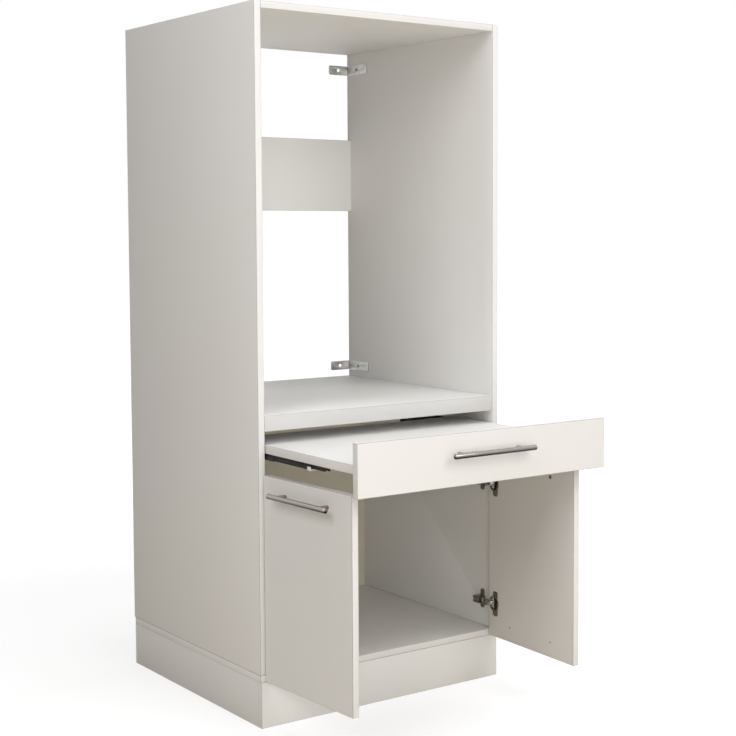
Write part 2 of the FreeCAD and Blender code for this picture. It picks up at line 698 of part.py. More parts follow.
def opened_link(shape, pivot, ratio):
    """Return a link swung about its arm pin to where it stands with the door open."""
    swung = shape.copy()
    swung.rotate(pivot, V(0, 0, 1), -DOOR_ANGLE * ratio)
    return swung


def opened_door(shape):
    """Return a piece of the left door, built closed, where it stands with the door open."""
    pin = cup_point(LONG_CUP_PIVOT)
    carried = Part.Vertex(pin)
    carried.rotate(arm_point(LONG_ARM_PIVOT), V(0, 0, 1), -DOOR_ANGLE * LONG_RATIO)
    moved = shape.copy()
    moved.rotate(pin, V(0, 0, 1), -DOOR_ANGLE)
    moved.translate(carried.Point - pin)
    return moved


def long_link():
    """Return the forked outer link, door closed: a barrel on the arm pin and two cheeks to the cup pins."""
    root = arm_point(LONG_ARM_PIVOT)
    tip = cup_point(LONG_CUP_PIVOT)
    along = (root - tip).normalize()
    aside = V(along.y, -along.x, 0)
    knee = tip + along * LONG_KNEE[0] + aside * LONG_KNEE[1]
    low = -LONG_OUTER_Z
    height = 2 * LONG_OUTER_Z
    up = V(0, 0, 1)
    pieces = [
        Part.makeCylinder(EYE_RADIUS, height, root + V(0, 0, low), up),
        turned_box((knee - root).Length, LONG_HALF_WIDTH, root, knee, low, -low),
        Part.makeCylinder(LONG_HALF_WIDTH, height, knee + V(0, 0, low), up),
        turned_box((tip - knee).Length, LONG_HALF_WIDTH, knee, tip, low, -low),
        Part.makeCylinder(EYE_RADIUS, height, tip + V(0, 0, low), up),
    ]
    fork_end = (tip - root).Length + EYE_RADIUS + LONG_KNEE[1]
    slot = box(LONG_FORK_START, fork_end, -fork_end, fork_end, -LONG_FORK_Z, LONG_FORK_Z)
    slot.rotate(V(0, 0, 0), up, math.degrees(math.atan2(-along.y, -along.x)))
    slot.translate(V(root.x, root.y, 0))
    bores = [rod(p + V(0, 0, low), up, PIN_RADIUS + PIN_CLEARANCE, height) for p in (root, tip)]
    return fused(pieces).cut([slot] + bores)


def short_link():
    """Return the curved inner link, door closed, with a wide eye round its cup pin."""
    root = arm_point(SHORT_ARM_PIVOT)
    tip = cup_point(SHORT_CUP_PIVOT)
    along = (root - tip).normalize()
    aside = V(along.y, -along.x, 0)
    half = (root - tip).Length / 2
    radius = (half * half + SHORT_SAGITTA * SHORT_SAGITTA) / (2 * SHORT_SAGITTA)
    crown = tip + along * half + aside * SHORT_SAGITTA
    centre = crown - aside * radius
    low = V(0, 0, -SHORT_OUTER_Z)
    up = V(0, 0, 1)
    height = 2 * SHORT_OUTER_Z
    rings = [(radius - SHORT_HALF_WIDTH), (radius + SHORT_HALF_WIDTH)]
    inner = [centre + (p - centre).normalize() * rings[0] for p in (tip, crown, root)]
    outer = [centre + (p - centre).normalize() * rings[1] for p in (tip, crown, root)]
    wire = Part.Wire(
        [
            Part.Arc(*[p + low for p in inner]).toShape(),
            Part.makeLine(inner[2] + low, outer[2] + low),
            Part.Arc(*[p + low for p in reversed(outer)]).toShape(),
            Part.makeLine(outer[0] + low, inner[0] + low),
        ]
    )
    strip = Part.Face(wire).extrude(V(0, 0, height))
    pieces = [
        strip,
        Part.makeCylinder(EYE_RADIUS, height, root + low, up),
        Part.makeCylinder(OPEN_EYE_RADIUS, height, tip + low, up),
    ]
    bores = [
        rod(root + low, up, PIN_RADIUS + PIN_CLEARANCE, height),
        rod(tip + low, up, OPEN_EYE_BORE, height),
    ]
    return fused(pieces).cut(bores)


def hinge_arm():
    """Return the arm, its plate, its pins and its screws at level 0, with the plate's screw holes."""
    up = V(0, 0, 1)
    off = V(1, 0, 0)
    long_pin = arm_point(LONG_ARM_PIVOT)
    short_pin = arm_point(SHORT_ARM_PIVOT)
    outer_z = ARM_INNER_Z + ARM_SHEET
    web_x = LEFT_INNER + ARM_WEB
    shoulder_y = FRONT + ARM_SHOULDER
    rear_y = FRONT + ARM_REAR
    web = box(web_x, web_x + ARM_SHEET, shoulder_y, rear_y, -outer_z, outer_z)
    cheeks = []
    for z0 in (-outer_z, ARM_INNER_Z):
        low = V(0, 0, z0)
        back = box(LEFT_INNER + ARM_LIFT, web_x + ARM_SHEET, shoulder_y, rear_y, z0, z0 + ARM_SHEET)
        heel = V(long_pin.x, shoulder_y, 0)
        reach = (long_pin - heel).Length
        nose = (short_pin - long_pin).Length
        cheeks += [
            back,
            turned_box(reach, NOSE_HALF_WIDTH, heel, long_pin, z0, z0 + ARM_SHEET),
            Part.makeCylinder(NOSE_HALF_WIDTH, ARM_SHEET, long_pin + low, up),
            turned_box(nose, NOSE_HALF_WIDTH, long_pin, short_pin, z0, z0 + ARM_SHEET),
            Part.makeCylinder(NOSE_HALF_WIDTH, ARM_SHEET, short_pin + low, up),
        ]
    pins = [rod(p - up * outer_z, up, PIN_RADIUS, 2 * outer_z) for p in (long_pin, short_pin)]

    block_rear = FRONT + PLATE_BLOCK_REAR
    block = box(LEFT_INNER, web_x, shoulder_y, block_rear, -PLATE_BLOCK_Z, PLATE_BLOCK_Z)
    wing = rounded_plate(PLATE_LENGTH / 2, PLATE_HEIGHT / 2, PLATE_CORNER, PLATE_SHEET)
    wing.translate(V(LEFT_INNER, FRONT + PLATE_CENTRE, 0))
    screws = []
    holes = []
    for z in (-PLATE_SCREW_SPACING / 2, PLATE_SCREW_SPACING / 2):
        seat = V(LEFT_INNER + PLATE_SHEET, FRONT + PLATE_CENTRE, z)
        screws.append(wood_screw(seat, off * -1))
        holes.append(wood_screw_hole(seat, off * -1))
    set_screws = []
    for setback in ARM_SCREW_SETBACKS:
        seat = V(web_x + ARM_SHEET, FRONT + setback, 0)
        shank = rod(seat, off * -1, ARM_SCREW_RADIUS, ARM_SCREW_LENGTH)
        head = rod(seat, off, ARM_SCREW_HEAD_RADIUS, ARM_SCREW_HEAD)
        set_screws.append(fused([shank, head]))
    slot_start = V(web_x, FRONT + ARM_SCREW_SETBACKS[-1], 0)
    slot_round = rod(slot_start, off, ARM_SLOT_RADIUS, ARM_SHEET)
    slot_run = box(web_x, web_x + ARM_SHEET, slot_start.y, rear_y, -ARM_SLOT_RADIUS, ARM_SLOT_RADIUS)
    plate = fused([block, wing]).cut(holes + set_screws)
    arm = fused([web] + cheeks).cut(pins + set_screws + [slot_round, slot_run])
    return arm, plate, pins, screws, set_screws, holes


def hinge_cup():
    """Return the cup, its pins and screws at level 0, door closed, and the door's hole and screw holes."""
    up = V(0, 0, 1)
    into = V(0, -1, 0)
    mouth = V(LEFT + REVEAL + CUP_EDGE, DOOR_INNER, 0)
    wall_radius = CUP_RADIUS - CUP_CLEARANCE
    bowl = rod(mouth, into, wall_radius, CUP_DEPTH)
    hollow_depth = CUP_DEPTH - CUP_WALL + FLANGE_SHEET
    hollow = rod(mouth - into * FLANGE_SHEET, into, wall_radius - CUP_WALL, hollow_depth)
    notch = box(
        mouth.x - CUP_RADIUS - CUP_RIM,
        mouth.x - CUP_RADIUS + CUP_NOTCH_REACH,
        DOOR_INNER - CUP_NOTCH_DEPTH,
        DOOR_INNER + FLANGE_SHEET,
        -CUP_NOTCH_HALF_HEIGHT,
        CUP_NOTCH_HALF_HEIGHT,
    )
    flange = rounded_plate(FLANGE_WIDTH / 2, FLANGE_HEIGHT / 2, FLANGE_CORNER, FLANGE_SHEET)
    flange.rotate(V(0, 0, 0), up, 90)
    flange.translate(V(mouth.x + FLANGE_OFFSET, DOOR_INNER, 0))
    rim = rod(mouth, into * -1, CUP_RADIUS + CUP_RIM, FLANGE_SHEET)
    long_pin = cup_point(LONG_CUP_PIVOT)
    short_pin = cup_point(SHORT_CUP_PIVOT)
    keep = rod(mouth, into, wall_radius - CUP_WALL * (1 - PIN_SEAT_RATIO), CUP_DEPTH)
    reach = CUP_RADIUS
    pins = [
        rod(long_pin + up * LONG_FORK_Z, up, PIN_RADIUS, reach).common(keep),
        rod(long_pin - up * LONG_FORK_Z, up * -1, PIN_RADIUS, reach).common(keep),
        rod(short_pin - up * reach, up, PIN_RADIUS, 2 * reach).common(keep),
    ]
    screws = []
    holes = []
    for z in (-CUP_SCREW_SPACING / 2, CUP_SCREW_SPACING / 2):
        seat = V(mouth.x + FLANGE_OFFSET, DOOR_INNER + FLANGE_SHEET, z)
        screws.append(wood_screw(seat, into))
        holes.append(wood_screw_hole(seat, into))
    cup = fused([bowl, flange, rim]).cut([hollow, notch] + pins + holes)
    pocket = rod(mouth, into, CUP_RADIUS, CUP_DEPTH + CUP_CLEARANCE)
    return cup, pins, screws, [pocket] + holes


def raised(shape, level):
    """Return a copy of a shape lifted to a level."""
    copy = shape.copy()
    copy.translate(V(0, 0, level))
    return copy


def doors():
    """Return both doors with their handles and hinges, open, and the holes in the side panels."""
    arm, plate, arm_pins, plate_screws, set_screws, panel_holes = hinge_arm()
    cup, cup_pins, cup_screws, door_holes = hinge_cup()
    hinge_left = LEFT + REVEAL
    centre_x = hinge_left + DOOR_WIDTH / 2
    handle_level = DOOR_TOP - DOOR_HANDLE_DROP
    bar, posts, screws, handle_holes = bar_handle(centre_x, DOOR_OUTER, DOOR_INNER, handle_level)
    pilot_level = DOOR_BOTTOM + DOOR_HANDLE_DROP
    pilots = [
        rod(V(x, DOOR_INNER, pilot_level), V(0, -1, 0), HANDLE_SCREW_RADIUS, PILOT_DEPTH)
        for x in (centre_x - POST_SPACING / 2, centre_x + POST_SPACING / 2)
    ]
    slab = box(hinge_left, hinge_left + DOOR_WIDTH, DOOR_OUTER, DOOR_INNER, DOOR_BOTTOM, DOOR_TOP)
    tools = handle_holes + pilots + [raised(hole, z) for z in HINGE_LEVELS for hole in door_holes]
    long_swung = opened_link(long_link(), arm_point(LONG_ARM_PIVOT), LONG_RATIO)
    short_swung = opened_link(short_link(), arm_point(SHORT_ARM_PIVOT), SHORT_RATIO)

    def at_levels(shapes):
        """Return copies of the shapes of one hinge at both hinge levels."""
        return [raised(shape, z) for z in HINGE_LEVELS for shape in shapes]

    left = {
        "door": opened_door(chamfered_front(slab).cut(tools)),
        "door_handle_bar": opened_door(bar),
        "door_handle_posts": opened_door(posts),
        "door_handle_screws": opened_door(screws),
        "hinge_cups": opened_door(group(at_levels([cup]))),
        "hinge_cup_pins": opened_door(group(at_levels(cup_pins))),
        "hinge_cup_screws": opened_door(group(at_levels(cup_screws))),
        "hinge_outer_links": group(at_levels([long_swung])),
        "hinge_inner_links": group(at_levels([short_swung])),
    }
    nodes = {}
    for name, shape in left.items():
        nodes[name + "_left"] = shape
        nodes[name + "_right"] = mirrored(shape)
    nodes["hinge_arms"] = group(both(at_levels([arm])))
    nodes["hinge_plates"] = group(both(at_levels([plate])))
    nodes["hinge_arm_pins"] = group(both(at_levels(arm_pins)))
    nodes["hinge_set_screws"] = group(both(at_levels(set_screws)))
    return nodes, both(at_levels(plate_screws)), both(at_levels(panel_holes))


def main():
    """Build every piece and write one file for each."""
    os.makedirs("parts", exist_ok=True)
    fixings, fixing_holes = carcass_fixings()
    brackets, bracket_screws, bracket_holes = wall_fixing()
    shelf, runner_screws, runner_holes = pullout()
    fronts, plate_screws, hinge_holes = doors()
    boards = carcass_boards(fixing_holes + bracket_holes + runner_holes + hinge_holes)
    nodes = {**boards, **fixings, **brackets, **shelf, **fronts}
    nodes["carcass_wood_screws"] = group(bracket_screws + runner_screws + plate_screws)
    for name, shape in nodes.items():
        shape.exportStep("parts/" + name + ".step")
        print(name, len(shape.Solids), "solids", round(shape.Volume / 1000, 2), "cm3", shape.isValid())
    print(len(nodes), "nodes")


main()
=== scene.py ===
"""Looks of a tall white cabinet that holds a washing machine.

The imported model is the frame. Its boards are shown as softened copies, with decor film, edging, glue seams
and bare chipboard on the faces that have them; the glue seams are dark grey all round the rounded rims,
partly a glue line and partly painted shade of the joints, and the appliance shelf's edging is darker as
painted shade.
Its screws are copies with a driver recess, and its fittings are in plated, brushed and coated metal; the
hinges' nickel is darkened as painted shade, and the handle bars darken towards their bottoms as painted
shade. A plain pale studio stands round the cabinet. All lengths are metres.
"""

import json
import logging
import math
from dataclasses import dataclass, replace
from enum import Enum
from typing import Callable, ClassVar, Sequence

import bmesh
import bpy
from mathutils import Matrix, Vector

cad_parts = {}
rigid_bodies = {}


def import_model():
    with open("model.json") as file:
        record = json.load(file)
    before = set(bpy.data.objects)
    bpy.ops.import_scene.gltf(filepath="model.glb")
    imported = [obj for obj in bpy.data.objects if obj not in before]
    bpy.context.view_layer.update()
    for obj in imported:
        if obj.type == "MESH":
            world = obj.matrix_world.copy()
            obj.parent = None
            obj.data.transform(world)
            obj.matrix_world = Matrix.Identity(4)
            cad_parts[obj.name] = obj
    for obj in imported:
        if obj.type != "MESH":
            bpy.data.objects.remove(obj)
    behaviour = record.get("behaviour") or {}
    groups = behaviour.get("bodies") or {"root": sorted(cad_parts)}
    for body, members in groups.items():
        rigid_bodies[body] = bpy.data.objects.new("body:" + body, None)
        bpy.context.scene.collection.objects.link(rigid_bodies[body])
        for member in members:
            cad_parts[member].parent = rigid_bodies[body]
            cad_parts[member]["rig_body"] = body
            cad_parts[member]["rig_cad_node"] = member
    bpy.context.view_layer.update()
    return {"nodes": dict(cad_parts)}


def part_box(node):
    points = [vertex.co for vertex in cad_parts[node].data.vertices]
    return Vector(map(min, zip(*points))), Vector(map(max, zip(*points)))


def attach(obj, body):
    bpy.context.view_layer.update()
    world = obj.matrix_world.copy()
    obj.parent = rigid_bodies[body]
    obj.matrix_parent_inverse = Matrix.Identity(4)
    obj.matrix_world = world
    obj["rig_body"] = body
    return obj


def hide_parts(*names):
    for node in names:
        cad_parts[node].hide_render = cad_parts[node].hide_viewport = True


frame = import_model()

MILLIMETRE = 0.001
MERGE_DISTANCE = 1e-6
FLAT_ANGLE = math.radians(0.5)
SMOOTH_ANGLE = math.radians(32.0)
SQUARE_CORNER = math.radians(80.0)
SHARP_CORNER = math.radians(50.0)
SAME_PLACE = 0.05 * MILLIMETRE
SAME_WAY = 0.99
ACROSS_WAY = 0.1
HALF_WAY = 0.5
SIDEWAYS = Vector((1.0, 0.0, 0.0))
UPRIGHT = Vector((0.0, 0.0, 1.0))
OPAQUE = 1.0

Triple = tuple[float, float, float]
Colour = Triple
Span = tuple[float, float]
Piece = bpy.types.Object
Socket = bpy.types.NodeSocket

log = logging.getLogger("cabinet")


class Axis(Enum):
    """Directions of the frame that a board's face or edge can have."""

    FRONT = (0.0, -1.0, 0.0)
    REAR = (0.0, 1.0, 0.0)
    DOWN = (0.0, 0.0, -1.0)
    UP = (0.0, 0.0, 1.0)


class Side(Enum):
    """The two sides of the cabinet, as its nodes are named."""

    LEFT = "left"
    RIGHT = "right"


class Kind(Enum):
    """What is selected in edit mode."""

    EDGE = "EDGE"
    FACE = "FACE"


class Cover(Enum):
    """What covers a face of a board, by its place in the board's list of materials."""

    FILM = 0
    EDGING = 1
    CORE = 2
    # Dark grey rounded rims: a glue line, and painted shade of the joints between boards.
    SEAM = 3


class Graph:
    """The node tree of one material, with short calls that add nodes and join them."""

    def __init__(self, name: str) -> None:
        """Starts a material with one principled surface.

        Args:
            name: Name of the new material.
        """
        self.material = bpy.data.materials.new(name)
        self.material.use_nodes = True
        self.nodes = self.material.node_tree.nodes
        self.links = self.material.node_tree.links
        self.nodes.clear()
        self.output = self.nodes.new("ShaderNodeOutputMaterial")
        self.surface = self.nodes.new("ShaderNodeBsdfPrincipled")
        self.links.new(self.surface.outputs["BSDF"], self.output.inputs["Surface"])
        self.place = self.nodes.new("ShaderNodeTexCoord").outputs["Object"]

    def set(self, values: dict[str, float]) -> None:
        """Sets values that are the same all over the surface.

        Args:
            values: Numbers by the name of their socket.
        """
        for socket, value in values.items():
            self.surface.inputs[socket].default_value = value

    def feed(self, socket: str, source: Socket) -> None:
        """Joins a pattern to a socket of the surface."""
        self.links.new(source, self.surface.inputs[socket])

    def stretched(self, scale: Triple, turn: Triple = (0.0, 0.0, 0.0)) -> Socket:
        """Stretches and turns the object's coordinates.

        Args:
            scale: Factors along x, y and z.
            turn: Angles about x, y and z, in radians.

        Returns:
            The mapped coordinates.
        """
        node = self.nodes.new("ShaderNodeMapping")
        node.inputs["Scale"].default_value = scale
        node.inputs["Rotation"].default_value = turn
        self.links.new(self.place, node.inputs["Vector"])
        return node.outputs["Vector"]

    def height(self) -> Socket:
        """Gives the object's own height above its origin.

        Returns:
            The height.
        """
        node = self.nodes.new("ShaderNodeSeparateXYZ")
        self.links.new(self.place, node.inputs["Vector"])
        return node.outputs["Z"]

    def noise(self, scale: float, detail: float = 2.0, where: Socket | None = None) -> Socket:
        """Adds a noise pattern.

        Args:
            scale: Features per metre.
            detail: Number of finer layers.
            where: Coordinates, the object's own unless given.

        Returns:
            The pattern, from 0 to 1.
        """
        node = self.nodes.new("ShaderNodeTexNoise")
        node.inputs["Scale"].default_value = scale
        node.inputs["Detail"].default_value = detail
        self.links.new(where or self.place, node.inputs["Vector"])
        return node.outputs["Fac"]

    def cells(self, scale: float) -> Socket:
        """Adds a pattern of cells.

        Args:
            scale: Cells per metre.

        Returns:
            A colour for each cell.
        """
        node = self.nodes.new("ShaderNodeTexVoronoi")
        node.inputs["Scale"].default_value = scale
        self.links.new(self.place, node.inputs["Vector"])
        return node.outputs["Color"]

    def red(self, colours: Socket) -> Socket:
        """Takes the red part of a pattern of colours.

        Args:
            colours: The colours.

        Returns:
            Their red part, from 0 to 1.
        """
        node = self.nodes.new("ShaderNodeSeparateColor")
        self.links.new(colours, node.inputs["Color"])
        return node.outputs["Red"]

    def span(self, source: Socket, low: float, high: float,
             start: float = 0.25, end: float = 0.75) -> Socket:
        """Maps a pattern to a range of numbers.

        Args:
            source: The pattern.
            low: Number where the pattern is at start.
            high: Number where the pattern is at end.
            start: Lower end of the pattern's range.
            end: Upper end of the pattern's range.

        Returns:
            The mapped numbers.
        """
        node = self.nodes.new("ShaderNodeMapRange")
        node.inputs["From Min"].default_value = start
        node.inputs["From Max"].default_value = end
        node.inputs["To Min"].default_value = low
        node.inputs["To Max"].default_value = high
        self.links.new(source, node.inputs["Value"])
        return node.outputs["Result"]

    def tones(self, source: Socket, stops: Sequence[tuple[float, Colour]]) -> Socket:
        """Colours a pattern.

        Args:
            source: The pattern, from 0 to 1.
            stops: Places along the pattern and their colours, in order.

        Returns:
            The colours.
        """
        node = self.nodes.new("ShaderNodeValToRGB")
        ramp = node.color_ramp
        while len(ramp.elements) < len(stops):
            ramp.elements.new(HALF_WAY)
        for element, (place, colour) in zip(ramp.elements, stops):
            element.position = place
            element.color = (*colour, OPAQUE)
        self.links.new(source, node.inputs["Fac"])
        return node.outputs["Color"]

    def blend(self, source: Socket, dark: Colour, pale: Colour,
              start: float = 0.3, end: float = 0.7) -> Socket:
        """Colours a pattern dark up to its start and pale from its end."""
        return self.tones(source, ((start, dark), (end, pale)))

    def speckled(self, base: Socket, dots: Socket, mode: str, share: float) -> Socket:
        """Lays one pattern of colour over another.

        Args:
            base: Colours underneath.
            dots: Colours on top.
            mode: Blend type of the mix.
            share: How much of the top layer counts.

        Returns:
            The mixed colours.
        """
        node = self.nodes.new("ShaderNodeMix")
        node.data_type = "RGBA"
        node.blend_type = mode
        node.inputs["Factor"].default_value = share
        self.links.new(base, node.inputs["A"])
        self.links.new(dots, node.inputs["B"])
        return node.outputs["Result"]

    def relief(self, height: Socket, depth: float) -> None:
        """Raises the surface by a pattern.

        Args:
            height: The pattern, from 0 to 1.
            depth: Height of the relief.
        """
        node = self.nodes.new("ShaderNodeBump")
        node.inputs["Distance"].default_value = depth
        node.inputs["Strength"].default_value = 1.0
        self.links.new(height, node.inputs["Height"])
        self.links.new(node.outputs["Normal"], self.surface.inputs["Normal"])


@dataclass(frozen=True)
class Finish:
    """A surface finish. Its material is made once, when it is first asked for."""

    made: ClassVar[dict[str, bpy.types.Material]] = {}
    name: str
    slot: str

    def paint(self, graph: Graph) -> None:
        """Builds the finish's nodes. Each finish has its own."""
        raise NotImplementedError

    def material(self) -> bpy.types.Material:
        """Gives the finish's material.

        Returns:
            The material, made on the first call.
        """
        if self.name not in Finish.made:
            graph = Graph(self.name)
            self.paint(graph)
            Finish.made[self.name] = graph.material
        return Finish.made[self.name]


@dataclass(frozen=True)
class DecorFilm(Finish):
    """White film or lacquer on a board, with a fine pearl relief and a faint unevenness."""

    light: Colour
    shade: Colour
    roughness: float
    roughness_spread: float
    pearl_per_metre: float
    pearl_depth: float
    cloud_per_metre: float = 5.0
    gloss: float = 0.2
    sheens_per_cloud: float = 6.0

    def paint(self, graph: Graph) -> None:
        """Builds the film's clouding, gloss and pearl relief.

        Args:
            graph: Nodes of the finish's material.
        """
        cloud = graph.noise(self.cloud_per_metre, detail=4.0)
        graph.feed("Base Color", graph.blend(cloud, self.shade, self.light))
        sheen = graph.noise(self.cloud_per_metre * self.sheens_per_cloud, detail=3.0)
        low = self.roughness - self.roughness_spread
        high = self.roughness + self.roughness_spread
        graph.feed("Roughness", graph.span(sheen, low, high))
        graph.relief(graph.noise(self.pearl_per_metre), self.pearl_depth)
        graph.set({"Specular IOR Level": self.gloss})


@dataclass(frozen=True)
class Chipboard(Finish):
    """Bare particle board, as on uncovered edges and in drilled holes."""

    chip: Colour
    dark: Colour
    pale: Colour
    chips_per_metre: float
    grains_per_chip: float = 2.2
    grain_share: float = 0.45

    def paint(self, graph: Graph) -> None:
        """Builds the chips' tones and their rough surface.

        Args:
            graph: Nodes of the finish's material.
        """
        chips = graph.red(graph.cells(self.chips_per_metre))
        base = graph.tones(chips, ((0.1, self.dark), (0.45, self.chip), (0.9, self.pale)))
        fine = graph.noise(self.chips_per_metre * self.grains_per_chip, detail=5.0)
        grain = graph.blend(fine, self.dark, self.pale)
        graph.feed("Base Color", graph.speckled(base, grain, "OVERLAY", self.grain_share))
        graph.feed("Roughness", graph.span(fine, low=0.8, high=0.95))
        graph.relief(fine, depth=0.3 * MILLIMETRE)


@dataclass(frozen=True)
class Hardboard(Finish):
    """Pressed fibre board: long fibres over a mottled brown."""

    fibre: Colour
    dark: Colour
    pale: Colour
    fibres_per_metre: float
    mottles_per_fibre: float = 0.06
    fibre_share: float = 0.5
    lengthwise: Triple = (1.0, 1.0, 0.22)

    def paint(self, graph: Graph) -> None:
        """Builds the mottling, the fibres and the pressed relief.

        Args:
            graph: Nodes of the finish's material.
        """
        fibres = graph.noise(self.fibres_per_metre, detail=6.0, where=graph.stretched(self.lengthwise))
        mottle = graph.noise(self.fibres_per_metre * self.mottles_per_fibre, detail=4.0)
        base = graph.tones(mottle, ((0.3, self.dark), (0.5, self.fibre), (0.72, self.pale)))
        streak = graph.blend(fibres, self.dark, self.pale, start=0.35, end=0.65)
        graph.feed("Base Color", graph.speckled(base, streak, "OVERLAY", self.fibre_share))
        graph.feed("Roughness", graph.span(fibres, low=0.55, high=0.75))
        graph.relief(fibres, depth=0.08 * MILLIMETRE)


@dataclass(frozen=True)
class BrushedSteel(Finish):
    """Brushed steel, with fine lines along one direction, darker towards the bottom of the bar as painted
    shade for the dark floor that it reflects.
    """

    bright: Colour
    dull: Colour
    roughness: float
    along: Triple
    lines_per_metre: float
    turn: float = 0.0
    bottom: float = 0.0
    top: float = 1.0
    # Painted shade: the share of tone left at the bottom of the bar, and the parts of its thickness where the
    # shade is full and where it ends.
    underside_shade: float = 0.04
    full_shade_below: float = 0.28
    no_shade_above: float = 0.68
    duller: float = 0.08
    glossier: float = 0.06

    def paint(self, graph: Graph) -> None:
        """Builds the brush lines, as tone, gloss and relief, and the painted shade that darkens the bar
        towards its bottom.

        Args:
            graph: Nodes of the finish's material.
        """
        way = graph.stretched(self.along, (0.0, 0.0, self.turn))
        lines = graph.noise(self.lines_per_metre, detail=4.0, where=way)
        tone = graph.blend(lines, self.dull, self.bright)
        # Painted shade: the tone is multiplied down towards the bottom of the bar, standing in for the dark
        # floor that its lower side reflects.
        thickness = self.top - self.bottom
        start = self.bottom + self.full_shade_below * thickness
        end = self.bottom + self.no_shade_above * thickness
        painted_shade = graph.span(graph.height(), self.underside_shade, 1.0, start, end)
        graph.feed("Base Color", graph.speckled(tone, painted_shade, "MULTIPLY", share=1.0))
        low = self.roughness - self.glossier
        graph.feed("Roughness", graph.span(lines, low, self.roughness + self.duller))
        graph.relief(lines, depth=0.02 * MILLIMETRE)
        graph.set({"Metallic": 1.0})


@dataclass(frozen=True)
class PlatedSteel(Finish):
    """Nickel or zinc plate on pressed steel, with grains and a duller bloom."""

    bright: Colour
    dull: Colour
    roughness: float
    grains_per_metre: float
    grain_share: float
    blooms_per_grain: float = 0.25
    specks_per_grain: float = 3.0
    duller: float = 0.08
    glossier: float = 0.05

    def paint(self, graph: Graph) -> None:
        """Builds the bloom, the grains and their gloss.

        Args:
            graph: Nodes of the finish's material.
        """
        bloom = graph.noise(self.grains_per_metre * self.blooms_per_grain, detail=4.0)
        base = graph.blend(bloom, self.dull, self.bright, end=0.65)
        grains = graph.cells(self.grains_per_metre)
        graph.feed("Base Color", graph.speckled(base, grains, "SOFT_LIGHT", self.grain_share))
        low = self.roughness + self.duller
        graph.feed("Roughness", graph.span(bloom, low, self.roughness - self.glossier))
        graph.relief(graph.noise(self.grains_per_metre * self.specks_per_grain), depth=0.015 * MILLIMETRE)
        graph.set({"Metallic": 1.0})


@dataclass(frozen=True)
class CoatedSteel(Finish):
    """Black coat on rolled steel, rubbed a little along the rail."""

    coat: Colour
    rubbed: Colour
    roughness: float
    streaks_per_metre: float = 900.0
    grains_per_metre: float = 2500.0
    lengthwise: Triple = (1.0, 0.03, 1.0)
    duller: float = 0.1
    glossier: float = 0.08
    gloss: float = 0.2

    def paint(self, graph: Graph) -> None:
        """Builds the coat, its rubbed streaks and its fine grain.

        Args:
            graph: Nodes of the finish's material.
        """
        streaks = graph.noise(self.streaks_per_metre, detail=3.0, where=graph.stretched(self.lengthwise))
        graph.feed("Base Color", graph.blend(streaks, self.coat, self.rubbed, start=0.5, end=0.8))
        low = self.roughness + self.duller
        graph.feed("Roughness", graph.span(streaks, low, self.roughness - self.glossier))
        graph.relief(graph.noise(self.grains_per_metre), depth=0.02 * MILLIMETRE)
        graph.set({"Specular IOR Level": self.gloss})


@dataclass(frozen=True)
class MouldedPlastic(Finish):
    """Moulded plastic with a spark-eroded grain."""

    light: Colour
    shade: Colour
    roughness: float
    roughness_spread: float = 0.06
    clouds_per_metre: float = 120.0
    grains_per_metre: float = 1800.0

    def paint(self, graph: Graph) -> None:
        """Builds the plastic's tone and grain.

        Args:
            graph: Nodes of the finish's material.
        """
        cloud = graph.noise(self.clouds_per_metre, detail=3.0)
        graph.feed("Base Color", graph.blend(cloud, self.shade, self.light))
        grain = graph.noise(self.grains_per_metre)
        low = self.roughness - self.roughness_spread
        graph.feed("Roughness", graph.span(grain, low, self.roughness + self.roughness_spread))
        graph.relief(grain, depth=0.03 * MILLIMETRE)


@dataclass(frozen=True)
class TurnedWood(Finish):
    """Beech dowel rod with fine rays."""

    pale: Colour
    dark: Colour
    rays_per_metre: float = 700.0
    lengthwise: Triple = (0.2, 0.2, 1.0)

    def paint(self, graph: Graph) -> None:
        """Builds the grain along the rods, which lie along x and y.

        Args:
            graph: Nodes of the finish's material.
        """
        grain = graph.noise(self.rays_per_metre, detail=5.0, where=graph.stretched(self.lengthwise))
        graph.feed("Base Color", graph.blend(grain, self.dark, self.pale, start=0.35, end=0.65))
        graph.feed("Roughness", graph.span(grain, low=0.5, high=0.7))
        graph.relief(grain, depth=0.05 * MILLIMETRE)


MELAMINE = DecorFilm(
    "white_melamine_film", "white_melamine",
    light=(0.842, 0.833, 0.818), shade=(0.832, 0.822, 0.806), roughness=0.46, roughness_spread=0.03,
    pearl_per_metre=900.0, pearl_depth=0.012 * MILLIMETRE, gloss=0.06)
EDGING = DecorFilm(
    "white_edging", "white_melamine",
    light=(0.822, 0.814, 0.800), shade=(0.810, 0.801, 0.786), roughness=0.42, roughness_spread=0.04,
    pearl_per_metre=1500.0, pearl_depth=0.01 * MILLIMETRE, cloud_per_metre=12.0, gloss=0.08)
# Dark grey tone for the rounded rims of every board: partly a glue line, partly painted shade of the joints
# between boards.
SEAM = DecorFilm(
    "glue_seam_and_painted_joint_shade", "white_melamine",
    light=(0.420, 0.410, 0.395), shade=(0.360, 0.350, 0.335), roughness=0.50, roughness_spread=0.04,
    pearl_per_metre=1500.0, pearl_depth=0.01 * MILLIMETRE, cloud_per_metre=60.0, gloss=0.05)
